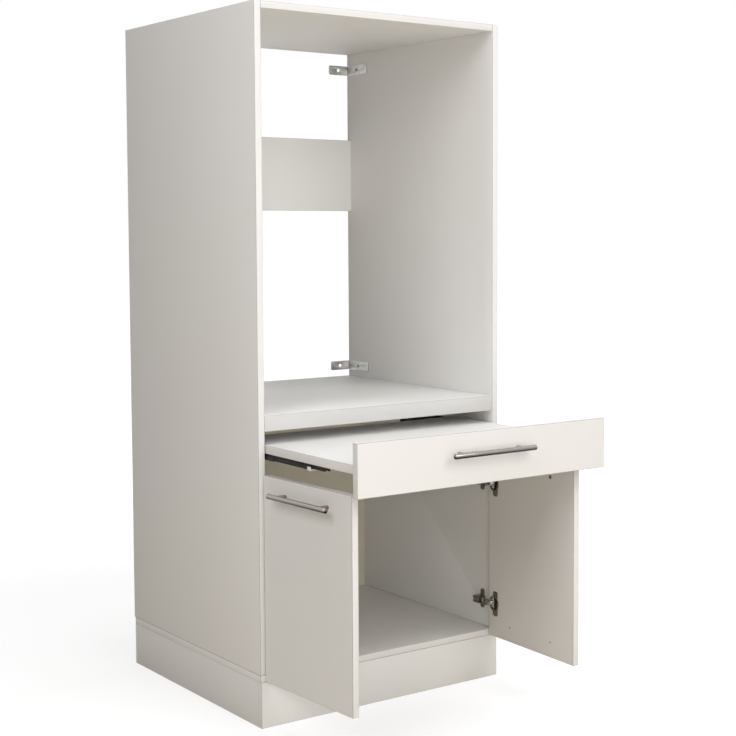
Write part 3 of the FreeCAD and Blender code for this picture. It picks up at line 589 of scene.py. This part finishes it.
# A darker copy of the edging for the appliance shelf, as painted shade on its front edge.
SHADED_SHELF_EDGING = replace(
    EDGING, name="shelf_edging_with_painted_shade", light=(0.680, 0.670, 0.654), shade=(0.668, 0.657, 0.640))
LACQUER = DecorFilm(
    "white_front_film", "white_front",
    light=(0.800, 0.786, 0.768), shade=(0.790, 0.776, 0.757), roughness=0.38, roughness_spread=0.03,
    pearl_per_metre=700.0, pearl_depth=0.01 * MILLIMETRE, gloss=0.15)
BACK_WHITE = DecorFilm(
    "white_back_film", "back_board",
    light=(0.800, 0.752, 0.635), shade=(0.785, 0.736, 0.618), roughness=0.48, roughness_spread=0.04,
    pearl_per_metre=1200.0, pearl_depth=0.02 * MILLIMETRE)
BARE_CHIP = Chipboard(
    "bare_chipboard", "white_melamine", chip=(0.430, 0.290, 0.165), dark=(0.190, 0.110, 0.055),
    pale=(0.640, 0.480, 0.310), chips_per_metre=420.0)
BARE_FIBRE = Hardboard(
    "bare_hardboard", "back_board", fibre=(0.270, 0.150, 0.075), dark=(0.170, 0.088, 0.042),
    pale=(0.360, 0.220, 0.120), fibres_per_metre=900.0)
BAR_STEEL = BrushedSteel(
    "brushed_bar", "handle_steel", bright=(0.440, 0.400, 0.372), dull=(0.340, 0.303, 0.280),
    roughness=0.20, along=(0.02, 1.0, 1.0), lines_per_metre=2200.0)
# Nickel darkened far below its own tone, as painted shade: it stands in for the dark interior that the hinges
# reflect and the shade on them.
SHADED_NICKEL = PlatedSteel(
    "nickel_plate_with_painted_shade", "dark_nickel", bright=(0.300, 0.270, 0.232), dull=(0.200, 0.178, 0.150),
    roughness=0.27, grains_per_metre=500.0, grain_share=0.15)
PIN_STEEL = PlatedSteel(
    "ground_pin_steel", "pin_steel", bright=(0.560, 0.550, 0.535), dull=(0.430, 0.420, 0.405),
    roughness=0.22, grains_per_metre=700.0, grain_share=0.1)
ZINC = PlatedSteel(
    "bright_zinc_plate", "zinc", bright=(0.560, 0.556, 0.540), dull=(0.480, 0.475, 0.460),
    roughness=0.42, grains_per_metre=260.0, grain_share=0.25)
SCREW_ZINC = replace(
    ZINC, name="dull_screw_zinc", bright=(0.230, 0.218, 0.200), dull=(0.160, 0.150, 0.136))
BLACK_CAGE = PlatedSteel(
    "blackened_cage_steel", "cage_steel", bright=(0.050, 0.047, 0.043), dull=(0.025, 0.023, 0.021),
    roughness=0.45, grains_per_metre=400.0, grain_share=0.2)
CAGE_STEEL = PlatedSteel(
    "ball_cage_steel", "cage_steel", bright=(0.560, 0.555, 0.545), dull=(0.420, 0.415, 0.405),
    roughness=0.30, grains_per_metre=400.0, grain_share=0.2)
BLACK_COAT = CoatedSteel(
    "black_runner_coat", "runner_steel", coat=(0.010, 0.009, 0.008), rubbed=(0.040, 0.037, 0.034),
    roughness=0.55)
WHITE_PLASTIC = MouldedPlastic(
    "white_catch_plastic", "catch_plastic", light=(0.800, 0.790, 0.770), shade=(0.745, 0.735, 0.712),
    roughness=0.42)
BEECH = TurnedWood(
    "beech_rod", "beech", pale=(0.600, 0.410, 0.240), dark=(0.430, 0.270, 0.140))


class Bench:
    """Short calls that model a piece with Blender's own operators."""

    @staticmethod
    def clear() -> None:
        """Deselects every object."""
        if bpy.context.object and bpy.context.object.mode != "OBJECT":
            bpy.ops.object.mode_set(mode="OBJECT")
        bpy.ops.object.select_all(action="DESELECT")

    @staticmethod
    def pick(piece: Piece) -> None:
        """Selects one object alone and makes it active.

        Args:
            piece: The object.
        """
        Bench.clear()
        piece.select_set(True)
        bpy.context.view_layer.objects.active = piece

    @staticmethod
    def copy_of(node: str, name: str) -> Piece:
        """Copies a CAD node into a new merged mesh of flat faces.

        Args:
            node: Name of the CAD node.
            name: Name of the new piece.

        Returns:
            The new piece, which rides on nothing yet.
        """
        Bench.pick(frame["nodes"][node])
        bpy.ops.object.duplicate()
        piece = bpy.context.object
        piece.name = name
        piece.data.name = name
        piece.parent = None
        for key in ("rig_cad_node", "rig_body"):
            del piece[key]
        piece.data.materials.clear()
        bpy.ops.object.mode_set(mode="EDIT")
        bpy.ops.mesh.select_all(action="SELECT")
        bpy.ops.mesh.customdata_custom_splitnormals_clear()
        bpy.ops.mesh.remove_doubles(threshold=MERGE_DISTANCE)
        bpy.ops.mesh.dissolve_limited(angle_limit=FLAT_ANGLE)
        bpy.ops.object.mode_set(mode="OBJECT")
        return piece

    @staticmethod
    def moved_copy(piece: Piece, name: str, step: Vector) -> Piece:
        """Copies a piece with its mesh and moves the copy.

        Args:
            piece: The piece.
            name: Name of the copy.
            step: How far the copy moves.

        Returns:
            The copy, with its place in its mesh.
        """
        Bench.pick(piece)
        bpy.ops.object.duplicate()
        copy = bpy.context.object
        copy.name = name
        copy.data.name = name
        bpy.ops.transform.translate(value=step)
        bpy.ops.object.transform_apply(location=True, rotation=True, scale=True)
        return copy

    @staticmethod
    def select(piece: Piece, kind: Kind,
               wanted: Callable[[bmesh.types.BMEdge | bmesh.types.BMFace], bool]) -> None:
        """Selects edges or faces in edit mode.

        Args:
            piece: The piece, in edit mode.
            kind: Whether edges or faces are selected.
            wanted: Says whether an edge or a face is selected.
        """
        bpy.ops.mesh.select_mode(type=kind.value)
        bpy.ops.mesh.select_all(action="DESELECT")
        shape = bmesh.from_edit_mesh(piece.data)
        for item in shape.edges if kind is Kind.EDGE else shape.faces:
            if wanted(item):
                item.select_set(True)
        bmesh.update_edit_mesh(piece.data)

    @staticmethod
    def islands(mesh: bpy.types.Mesh) -> list[list[bpy.types.MeshPolygon]]:
        """Groups a mesh's faces into its separate solids.

        Args:
            mesh: The merged mesh.

        Returns:
            The faces of each solid.
        """
        parent = list(range(len(mesh.vertices)))

        def root(index: int) -> int:
            """Finds the vertex that stands for a solid.

            Args:
                index: One of the solid's vertices.

            Returns:
                The vertex that stands for it.
            """
            while parent[index] != index:
                parent[index] = parent[parent[index]]
                index = parent[index]
            return index

        for edge in mesh.edges:
            parent[root(edge.vertices[0])] = root(edge.vertices[1])
        solids: dict[int, list[bpy.types.MeshPolygon]] = {}
        for face in mesh.polygons:
            solids.setdefault(root(face.vertices[0]), []).append(face)
        return list(solids.values())

    @staticmethod
    def cube(low: Sequence[float], high: Sequence[float], name: str) -> Piece:
        """Adds a cube stretched between two corners, with its size and place in its mesh.

        Args:
            low: Its lowest corner.
            high: Its highest corner.
            name: Its name.

        Returns:
            The cube.
        """
        Bench.clear()
        size = Vector(high) - Vector(low)
        middle = (Vector(high) + Vector(low)) / 2.0
        bpy.ops.mesh.primitive_cube_add(size=1.0, location=middle, scale=size)
        bpy.ops.object.transform_apply(location=True, rotation=True, scale=True)
        bpy.context.object.name = name
        bpy.context.object.data.name = name
        return bpy.context.object

    @staticmethod
    def carve(piece: Piece, cutter: Piece) -> None:
        """Cuts one piece out of another and deletes it.

        Args:
            piece: The piece that is cut.
            cutter: The piece that is cut out of it.
        """
        Bench.pick(piece)
        bpy.ops.object.modifier_add(type="BOOLEAN")
        cut = piece.modifiers[-1]
        cut.operation = "DIFFERENCE"
        cut.solver = "EXACT"
        cut.object = cutter
        bpy.ops.object.modifier_apply(modifier=cut.name)
        bpy.data.meshes.remove(cutter.data)

    @staticmethod
    def soften(piece: Piece, radius: float, corner: float, segments: int = 2) -> None:
        """Rounds a piece's sharp edges.

        Args:
            piece: The piece.
            radius: Width of the rounding.
            corner: Least angle of an edge that is rounded.
            segments: Faces across the rounding.
        """
        Bench.pick(piece)
        bpy.ops.object.modifier_add(type="BEVEL")
        bevel = piece.modifiers[-1]
        bevel.width = radius
        bevel.segments = segments
        bevel.limit_method = "ANGLE"
        bevel.angle_limit = corner
        bpy.ops.object.modifier_apply(modifier=bevel.name)

    @staticmethod
    def smooth(piece: Piece) -> None:
        """Shades a piece smooth, apart from its corners."""
        Bench.pick(piece)
        bpy.ops.object.shade_smooth_by_angle(angle=SMOOTH_ANGLE)

    @staticmethod
    def settle(piece: Piece, node: str, slot: str) -> None:
        """Puts a finished piece in the place of a CAD node.

        Args:
            piece: The finished piece.
            node: The CAD node that it stands for.
            slot: The record's material slot; not used.
        """
        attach(piece, frame["nodes"][node]["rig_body"])
        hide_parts(node)
        log.info("%s stands for %s, %d faces", piece.name, node, len(piece.data.polygons))

    @staticmethod
    def dress(node: str, finish: Finish) -> None:
        """Gives a CAD node that keeps its own shape a finish.

        Args:
            node: Name of the node.
            finish: The finish.
        """
        slots = frame["nodes"][node].data.materials
        slots.clear()
        slots.append(finish.material())
        log.info("%s in %s", node, finish.name)


@dataclass
class Board:
    """One board: a softened copy with film, edging, dark grey glue seams and bare chipboard where it has
    them; the glue seams are darkened as painted shade of the joints.
    """

    node: str
    film: Finish
    edging: Finish = EDGING
    core: Finish = BARE_CHIP
    # The rim finish: a glue line darkened as painted shade of the joints.
    seam_and_shade: Finish = SEAM
    bare_edges: tuple[Axis, ...] = (Axis.REAR,)
    softness: float = 0.6 * MILLIMETRE
    rounds: int = 2
    rim: float = 1.6 * MILLIMETRE

    def axes(self, mesh: bpy.types.Mesh) -> tuple[Vector, Vector, Vector]:
        """Finds the board's own directions.

        Args:
            mesh: The board's mesh.

        Returns:
            The direction through its thickness, then the two along its faces.
        """
        largest = max(mesh.polygons, key=lambda face: face.area)
        through = largest.normal.normalized()
        along = SIDEWAYS if abs(through.dot(UPRIGHT)) > HALF_WAY else UPRIGHT
        return through, along, through.cross(along).normalized()

    def build(self) -> None:
        """Models the softened board, dresses its faces and puts it in the place of its node."""
        piece = Bench.copy_of(self.node, self.node + "_board")
        axes = self.axes(piece.data)
        reach = [self.reach(piece.data, axis) for axis in axes]

        def outer(edge: bmesh.types.BMEdge) -> bool:
            """Says whether an edge lies on just two of the board's outer planes, at a square corner."""
            near = sorted(self.near((edge.verts[0].co + edge.verts[1].co) / 2.0, axes, reach))
            return near[1] < SAME_PLACE <= near[2] and edge.calc_face_angle(0.0) > SQUARE_CORNER

        Bench.pick(piece)
        bpy.ops.object.mode_set(mode="EDIT")
        Bench.select(piece, Kind.EDGE, outer)
        bpy.ops.mesh.bevel(offset=self.softness, segments=self.rounds, affect="EDGES", clamp_overlap=True)
        bpy.ops.object.mode_set(mode="OBJECT")
        for finish in (self.film, self.edging, self.core, self.seam_and_shade):
            piece.data.materials.append(finish.material())
        for face in piece.data.polygons:
            face.material_index = self.cover(face, axes, reach).value
        Bench.smooth(piece)
        Bench.settle(piece, self.node, self.film.slot)

    @staticmethod
    def reach(mesh: bpy.types.Mesh, axis: Vector) -> Span:
        """Measures a mesh's lowest and highest place along a direction."""
        places = [vertex.co.dot(axis) for vertex in mesh.vertices]
        return min(places), max(places)

    @staticmethod
    def near(point: Vector, axes: Sequence[Vector], reach: Sequence[Span]) -> list[float]:
        """Measures, along each of the board's directions, how far a point is from the nearer outer plane."""
        return [
            min(abs(point.dot(axis) - low), abs(point.dot(axis) - high))
            for axis, (low, high) in zip(axes, reach)]

    def cover(self, face: bpy.types.MeshPolygon, axes: Sequence[Vector], reach: Sequence[Span]) -> Cover:
        """Says what covers a face.

        Args:
            face: A face of the softened board.
            axes: The board's own directions, thickness first.
            reach: Its lowest and highest place along each.

        Returns:
            Film, edging, bare core or the dark grey rim between film and edging, a glue line darkened as
            painted shade of the joint.
        """
        near = self.near(face.center, axes, reach)
        tilt = abs(face.normal.dot(axes[0]))
        if near[0] < SAME_PLACE and tilt > SAME_WAY:
            return Cover.FILM
        if min(near[1:]) < SAME_PLACE and tilt < ACROSS_WAY:
            bare = any(face.normal.dot(Vector(axis.value)) > SAME_WAY for axis in self.bare_edges)
            return Cover.CORE if bare else Cover.EDGING
        # Rounded rim faces take the dark grey tone, a glue line with painted shade of the joint.
        return Cover.SEAM if sorted(near)[1] < self.rim else Cover.CORE


@dataclass
class Carcass:
    """The fixed boards: sides, top, bottom, appliance shelf, rear rail, back panel and plinth."""

    softness: float = 0.6 * MILLIMETRE

    def build(self) -> None:
        """Builds the boards and the back panel."""
        for node in ("side_panel_left", "side_panel_right", "top_panel", "bottom_panel"):
            Board(node, MELAMINE, softness=self.softness).build()
        # The appliance shelf's edges take the darker edging, painted shade.
        Board("appliance_shelf", MELAMINE, SHADED_SHELF_EDGING, softness=self.softness).build()
        Board("back_rail", MELAMINE, bare_edges=(), softness=self.softness).build()
        for node in ("plinth_front", "plinth_back", "plinth_side_left", "plinth_side_right"):
            Board(node, MELAMINE, bare_edges=(Axis.UP, Axis.DOWN), softness=self.softness).build()
        self.back_panel()

    def back_panel(self) -> None:
        """Dresses the thin back panel: white film inside, bare fibre behind."""
        piece = Bench.copy_of("back_panel", "back_panel_sheet")
        sheets = (BACK_WHITE, BARE_FIBRE)
        for finish in sheets:
            piece.data.materials.append(finish.material())
        front = Vector(Axis.FRONT.value)
        for face in piece.data.polygons:
            inside = face.normal.dot(front) > SAME_WAY
            face.material_index = sheets.index(BACK_WHITE if inside else BARE_FIBRE)
        Bench.settle(piece, "back_panel", BACK_WHITE.slot)


@dataclass
class Fronts:
    """The pull-out board and the three fronts that cover the lower part."""

    softness: float = 0.7 * MILLIMETRE

    def build(self) -> None:
        """Builds the pull-out board, its front and both doors."""
        Board("pullout_shelf", MELAMINE).build()
        for node in ("shelf_front", "door_left", "door_right"):
            Board(node, LACQUER, bare_edges=(), softness=self.softness).build()


class Recess(Enum):
    """Driver recesses, by the ways that their blades point."""

    CROSS = ((1.0, 0.0, 0.0), (-1.0, 0.0, 0.0), (0.0, 1.0, 0.0), (0.0, -1.0, 0.0))
    SLOT = ((1.0, 0.0, 0.0), (-1.0, 0.0, 0.0))


@dataclass
class Screws:
    """The screws of one node: copies with crowned heads and a driver recess."""

    node: str
    finish: Finish = SCREW_ZINC
    recess: Recess = Recess.CROSS
    span: float = 4.4 * MILLIMETRE
    blade: float = 0.9 * MILLIMETRE
    depth: float = 1.0 * MILLIMETRE
    crown: float = 0.6 * MILLIMETRE
    crown_faces: int = 3
    taper: float = 0.6
    clear: float = 0.3 * MILLIMETRE
    turn: float = math.radians(37.0)

    def build(self) -> None:
        """Models the screws and puts them in the place of their node."""
        piece = Bench.copy_of(self.node, self.node + "_driven")
        tops = [max(solid, key=lambda face: face.area) for solid in Bench.islands(piece.data)]
        heads = [(top.center.copy(), top.normal.copy()) for top in tops]
        rims = {tuple(sorted(key)) for top in tops for key in top.edge_keys}
        Bench.pick(piece)
        bpy.ops.object.mode_set(mode="EDIT")
        Bench.select(
            piece, Kind.EDGE, lambda edge: tuple(sorted(vert.index for vert in edge.verts)) in rims)
        bpy.ops.mesh.bevel(
            offset=self.crown, segments=self.crown_faces, affect="EDGES", clamp_overlap=True)
        bpy.ops.object.mode_set(mode="OBJECT")
        Bench.carve(piece, self.drivers(heads))
        piece.data.materials.append(self.finish.material())
        Bench.smooth(piece)
        Bench.settle(piece, self.node, self.finish.slot)

    def driver(self) -> Piece:
        """Models the tip of a driver, pointing down at the origin.

        Returns:
            The tip.
        """
        half = self.blade / 2.0
        tip = Bench.cube((-half, -half, -self.depth), (half, half, self.clear), "driver_tip")
        bpy.ops.object.mode_set(mode="EDIT")
        for arm in self.recess.value:
            way = Vector(arm)
            across = UPRIGHT.cross(way)
            Bench.select(
                tip, Kind.FACE, lambda face: face.normal.dot(way) > SAME_WAY
                and abs(face.calc_center_median().dot(across)) < half / 2.0)
            reach = way * (self.span - self.blade) / 2.0
            bpy.ops.mesh.extrude_region_move(TRANSFORM_OT_translate={"value": reach})
        Bench.select(tip, Kind.FACE, lambda face: face.normal.z < -SAME_WAY)
        bpy.ops.transform.resize(value=(self.taper, self.taper, 1.0), center_override=(0.0, 0.0, 0.0))
        bpy.ops.object.mode_set(mode="OBJECT")
        return tip

    def drivers(self, heads: Sequence[tuple[Vector, Vector]]) -> Piece:
        """Sets a driver tip into every head.

        Args:
            heads: Centre and outward direction of each head.

        Returns:
            The tips, joined.
        """
        tip = self.driver()
        copies = []
        for index, (centre, way) in enumerate(heads):
            Bench.pick(tip)
            bpy.ops.object.duplicate()
            copy = bpy.context.object
            facing = way.to_track_quat("Z", "Y").to_matrix().to_4x4()
            twist = Matrix.Rotation(self.turn * index, 4, "Z")
            copy.matrix_world = Matrix.Translation(centre) @ facing @ twist
            copies.append(copy)
        bpy.data.meshes.remove(tip.data)
        Bench.clear()
        for copy in copies:
            copy.select_set(True)
        bpy.context.view_layer.objects.active = copies[0]
        bpy.ops.object.join()
        return bpy.context.object


@dataclass
class Pressing:
    """One metal fitting: a copy of its node with its edges rounded."""

    node: str
    finish: Finish
    radius: float = 0.25 * MILLIMETRE
    corner: float = SHARP_CORNER

    def build(self) -> None:
        """Models the fitting and puts it in the place of its node."""
        piece = Bench.copy_of(self.node, self.node + "_rounded")
        Bench.soften(piece, self.radius, self.corner)
        piece.data.materials.append(self.finish.material())
        Bench.smooth(piece)
        Bench.settle(piece, self.node, self.finish.slot)


@dataclass
class Joinery:
    """What holds the boards together: dowels, cam locks and their bolts, and screws."""

    cam_span: float = 9.0 * MILLIMETRE
    cam_blade: float = 1.4 * MILLIMETRE
    cam_crown: float = 0.4 * MILLIMETRE
    base_crown: float = 0.2 * MILLIMETRE

    def build(self) -> None:
        """Builds the screws and cams and dresses the rest."""
        for node in ("board_dowels", "shelf_front_dowels"):
            Bench.dress(node, BEECH)
        Bench.dress("cam_bolts", ZINC)
        Screws(
            "cam_locks", ZINC, Recess.SLOT, self.cam_span, self.cam_blade, crown=self.cam_crown).build()
        Screws("base_screws", crown=self.base_crown).build()
        Screws("carcass_wood_screws").build()


@dataclass
class WallFixing:
    """The four angle brackets that hold the cabinet to the wall."""

    radius: float = 0.3 * MILLIMETRE

    def build(self) -> None:
        """Builds the brackets."""
        for level in ("upper", "lower"):
            Pressing(f"wall_brackets_{level}", ZINC, self.radius).build()


@dataclass
class Runners:
    """The two ball runners: black rails, ball cages and a white catch on the front of each middle rail."""

    radius: float = 0.25 * MILLIMETRE
    catch_cheek: float = 2.2 * MILLIMETRE
    catch_gap: float = 0.15 * MILLIMETRE
    catch_lead: float = 6.0 * MILLIMETRE
    catch_rise: float = 8.5 * MILLIMETRE
    catch_lip: float = 1.8 * MILLIMETRE
    catch_radius: float = 0.6 * MILLIMETRE
    catch_faces: int = 3

    def build(self) -> None:
        """Builds both runners and their screws."""
        for side in Side:
            for part in ("cabinet", "middle", "shelf"):
                Pressing(f"runner_{part}_rail_{side.value}", BLACK_COAT, self.radius).build()
            Bench.dress(f"runner_outer_cage_{side.value}", BLACK_CAGE)
            Bench.dress(f"runner_inner_cage_{side.value}", CAGE_STEEL)
        self.catches()
        Screws("shelf_rail_screws").build()

    def catches(self) -> None:
        """Models the left catch, copies it to the right and puts both in the places of their nodes."""
        step = Vector(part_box("runner_catch_right")[0]) - Vector(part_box("runner_catch_left")[0])
        left = self.catch()
        right = Bench.moved_copy(left, "runner_catch_right_moulding", step)
        for side, piece in zip(Side, (left, right)):
            Bench.settle(piece, f"runner_catch_{side.value}", WHITE_PLASTIC.slot)

    def catch(self) -> Piece:
        """Models the moulded catch that closes the front end of the left middle rail.

        Returns:
            The finished catch, which rides on nothing yet.
        """
        rail_low, rail_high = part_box("runner_middle_rail_left")
        foot_low, foot_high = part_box("runner_catch_left")
        width = self.catch_cheek + self.catch_gap
        low = (rail_low[0] - width, foot_low[1] - self.catch_lead, foot_low[2])
        high = (rail_high[0] + width, foot_high[1], foot_low[2] + self.catch_rise)
        piece = Bench.cube(low, high, "runner_catch_left_moulding")
        inner = (rail_low[0] - self.catch_gap, rail_high[0] + self.catch_gap)
        past = self.catch_rise
        far = (inner[1], high[1] + past, high[2] + past)
        trough = Bench.cube(
            (inner[0], low[1] - past, foot_high[2] + self.catch_lip), far, "catch_trough")
        Bench.carve(piece, trough)
        seat = Bench.cube(
            (inner[0], rail_low[1] - self.catch_gap, foot_high[2]), far, "catch_seat")
        Bench.carve(piece, seat)
        Bench.soften(piece, self.catch_radius, SHARP_CORNER, self.catch_faces)
        piece.data.materials.append(WHITE_PLASTIC.material())
        Bench.smooth(piece)
        return piece


@dataclass
class Handles:
    """The three bar handles, with their posts and screws."""

    bar_radius: float = 0.4 * MILLIMETRE
    bar_corner: float = math.radians(35.0)
    post_radius: float = 0.2 * MILLIMETRE
    door_turn: float = math.radians(87.5)

    def build(self) -> None:
        """Builds the shelf's handle and both doors' handles."""
        self.handle("shelf_handle", "", 0.0)
        self.handle("door_handle", "_left", self.door_turn)
        self.handle("door_handle", "_right", -self.door_turn)

    def handle(self, stem: str, ending: str, turn: float) -> None:
        """Builds one handle.

        Args:
            stem: Start of its nodes' names.
            ending: End of its nodes' names.
            turn: Angle of its bar about the upright, away from the frame's x.
        """
        low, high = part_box(f"{stem}_bar{ending}")
        name = f"brushed_{stem}{ending}"
        # The bar's lowest and highest heights set where its painted shade lies.
        steel = replace(BAR_STEEL, name=name, turn=turn, bottom=low[2], top=high[2])
        Pressing(f"{stem}_bar{ending}", steel, self.bar_radius, self.bar_corner).build()
        Pressing(f"{stem}_posts{ending}", steel, self.post_radius).build()
        Screws(f"{stem}_screws{ending}").build()


@dataclass
class Hinges:
    """The four concealed hinges: cup, links, arm and cross plate, with their pins and screws."""

    radius: float = 0.25 * MILLIMETRE
    crown: float = 0.4 * MILLIMETRE

    def build(self) -> None:
        """Builds the hinges' pressings and screws and dresses their pins."""
        for node in ("hinge_arms", "hinge_plates"):
            Pressing(node, SHADED_NICKEL, self.radius).build()
        Bench.dress("hinge_arm_pins", PIN_STEEL)
        Screws("hinge_set_screws", SHADED_NICKEL, crown=self.crown).build()
        for side in Side:
            for part in ("cups", "outer_links", "inner_links"):
                Pressing(f"hinge_{part}_{side.value}", SHADED_NICKEL, self.radius).build()
            Bench.dress(f"hinge_cup_pins_{side.value}", PIN_STEEL)
            Screws(f"hinge_cup_screws_{side.value}", SHADED_NICKEL).build()


@dataclass(frozen=True)
class Lamp:
    """One square soft lamp, which faces a point of the cabinet. A grid can narrow its beam."""

    name: str
    place: Triple
    size: float
    power: float
    target: Triple = (0.0, 0.0, 0.8)
    spread: float = math.pi

    def hang(self) -> None:
        """Hangs the lamp, facing its target."""
        Bench.clear()
        facing = Vector(self.target) - Vector(self.place)
        turn = facing.to_track_quat("-Z", "Y").to_euler()
        bpy.ops.object.light_add(type="AREA", location=self.place, rotation=turn)
        lamp = bpy.context.object
        lamp.name = self.name
        lamp.data.size = self.size
        lamp.data.energy = self.power
        lamp.data.spread = self.spread


SHELF_TARGET = (0.0, -0.25, 0.64)
GRID_SPREAD = math.radians(44.0)
LAMPS = (
    Lamp("near_lamp", (-1.6, -3.2, 0.7), size=1.4, power=26.0),
    Lamp("steep_lamp", (0.4, -3.0, 2.4), size=2.0, power=47.0),
    Lamp("low_lamp", (0.3, -3.2, 0.25), size=0.5, power=4.5),
    Lamp("grid_lamp", (0.1, -1.5, 4.0), size=1.0, power=1.0, target=SHELF_TARGET, spread=GRID_SPREAD),
    Lamp("right_lamp", (4.0, 0.0, 2.0), size=2.6, power=75.0),
    Lamp("left_lamp", (-3.3, -1.6, 3.0), size=2.0, power=55.0),
    Lamp("high_lamp", (0.0, 0.0, 7.5), size=3.0, power=115.0),
    Lamp("rear_lamp", (1.5, 4.5, 1.1), size=1.0, power=16.0))


@dataclass
class Studio:
    """Floor, light and camera."""

    sensor: float = 36.0
    lens: float = 73.185
    yaw: float = 37.862
    pitch: float = 4.0
    station: Triple = (-1.9665, -2.8954, 1.1228)
    shift: Span = (-0.15, -0.05)
    floor_size: float = 60.0
    floor_colour: Colour = (0.48, 0.48, 0.48)
    floor_bounce: Colour = (0.54, 0.47, 0.37)
    lift_near: float = 0.64
    lift_far: float = 0.96
    near_reach: float = 1.0
    far_reach: float = 4.5
    room_light: float = 0.2
    room_colour: Colour = (1.0, 1.0, 1.0)

    def build(self) -> None:
        """Sets up the whole studio."""
        self.floor()
        self.room()
        self.lamps()
        self.camera()
        bpy.context.scene.view_settings.view_transform = "Standard"

    @staticmethod
    def seen(nodes: bpy.types.Nodes, links: bpy.types.NodeLinks) -> Socket:
        """Adds nodes that tell rays which show the background from rays that carry light.

        Args:
            nodes: Nodes of the material or world.
            links: Their links.

        Returns:
            1 for rays from the camera, off a mirror or through glass, else 0.
        """
        path = nodes.new("ShaderNodeLightPath")
        total = path.outputs["Is Camera Ray"]
        for ray in ("Is Glossy Ray", "Is Transmission Ray"):
            either = nodes.new("ShaderNodeMath")
            either.operation = "MAXIMUM"
            links.new(total, either.inputs[0])
            links.new(path.outputs[ray], either.inputs[1])
            total = either.outputs["Value"]
        return total

    def floor(self) -> None:
        """Lays a pale floor that keeps the cabinet's shadow."""
        Bench.clear()
        bpy.ops.mesh.primitive_plane_add(size=self.floor_size, location=(0.0, 0.0, 0.0))
        floor = bpy.context.object
        floor.name = "studio_floor"
        floor.data.materials.append(self.floor_material())

    def floor_material(self) -> bpy.types.Material:
        """Makes a matt floor, warm in the light it throws back and white with distance where it is seen.

        Returns:
            The material.
        """
        material = bpy.data.materials.new("pale_floor")
        material.use_nodes = True
        nodes = material.node_tree.nodes
        links = material.node_tree.links
        nodes.clear()
        seen = self.seen(nodes, links)
        tint = nodes.new("ShaderNodeMix")
        tint.data_type = "RGBA"
        tint.inputs["A"].default_value = (*self.floor_bounce, OPAQUE)
        tint.inputs["B"].default_value = (*self.floor_colour, OPAQUE)
        links.new(seen, tint.inputs["Factor"])
        matt = nodes.new("ShaderNodeBsdfDiffuse")
        links.new(tint.outputs["Result"], matt.inputs["Color"])
        away = nodes.new("ShaderNodeVectorMath")
        away.operation = "LENGTH"
        links.new(nodes.new("ShaderNodeTexCoord").outputs["Object"], away.inputs[0])
        rising = nodes.new("ShaderNodeMapRange")
        rising.interpolation_type = "SMOOTHSTEP"
        rising.inputs["From Min"].default_value = self.near_reach
        rising.inputs["From Max"].default_value = self.far_reach
        rising.inputs["To Min"].default_value = self.lift_near
        rising.inputs["To Max"].default_value = self.lift_far
        links.new(away.outputs["Value"], rising.inputs["Value"])
        strength = nodes.new("ShaderNodeMath")
        strength.operation = "MULTIPLY"
        links.new(seen, strength.inputs[0])
        links.new(rising.outputs["Result"], strength.inputs[1])
        lift = nodes.new("ShaderNodeEmission")
        links.new(strength.outputs["Value"], lift.inputs["Strength"])
        both = nodes.new("ShaderNodeAddShader")
        links.new(matt.outputs["BSDF"], both.inputs[0])
        links.new(lift.outputs["Emission"], both.inputs[1])
        links.new(both.outputs["Shader"], nodes.new("ShaderNodeOutputMaterial").inputs["Surface"])
        return material

    def room(self) -> None:
        """Makes a white background over an even, dimmer room light."""
        world = bpy.data.worlds.new("pale_room")
        world.use_nodes = True
        bpy.context.scene.world = world
        nodes = world.node_tree.nodes
        links = world.node_tree.links
        nodes.clear()
        strength = nodes.new("ShaderNodeMapRange")
        strength.inputs["To Min"].default_value = self.room_light
        strength.inputs["To Max"].default_value = 1.0
        links.new(self.seen(nodes, links), strength.inputs["Value"])
        background = nodes.new("ShaderNodeBackground")
        links.new(strength.outputs["Result"], background.inputs["Strength"])
        background.inputs["Color"].default_value = (*self.room_colour, OPAQUE)
        links.new(background.outputs["Background"], nodes.new("ShaderNodeOutputWorld").inputs["Surface"])

    def lamps(self) -> None:
        """Hangs the soft lamps round and above the cabinet."""
        for lamp in LAMPS:
            lamp.hang()

    def camera(self) -> None:
        """Places the camera for the photograph's view, with a small shift."""
        Bench.clear()
        turn = (math.pi / 2.0 - math.radians(self.pitch), 0.0, math.radians(-self.yaw))
        bpy.ops.object.camera_add(location=self.station, rotation=turn)
        camera = bpy.context.object
        camera.name = "photo_camera"
        camera.data.lens = self.lens
        camera.data.sensor_width = self.sensor
        camera.data.shift_x = self.shift[0]
        camera.data.shift_y = self.shift[1]
        bpy.context.scene.camera = camera


def main() -> None:
    """Builds the cabinet's looks and the studio round it."""
    logging.basicConfig(level=logging.INFO, format="%(name)s: %(message)s")
    for assembly in (Carcass(), Fronts(), Joinery(), WallFixing(), Runners(), Handles(), Hinges(), Studio()):
        assembly.build()


if __name__ == "__main__":
    main()
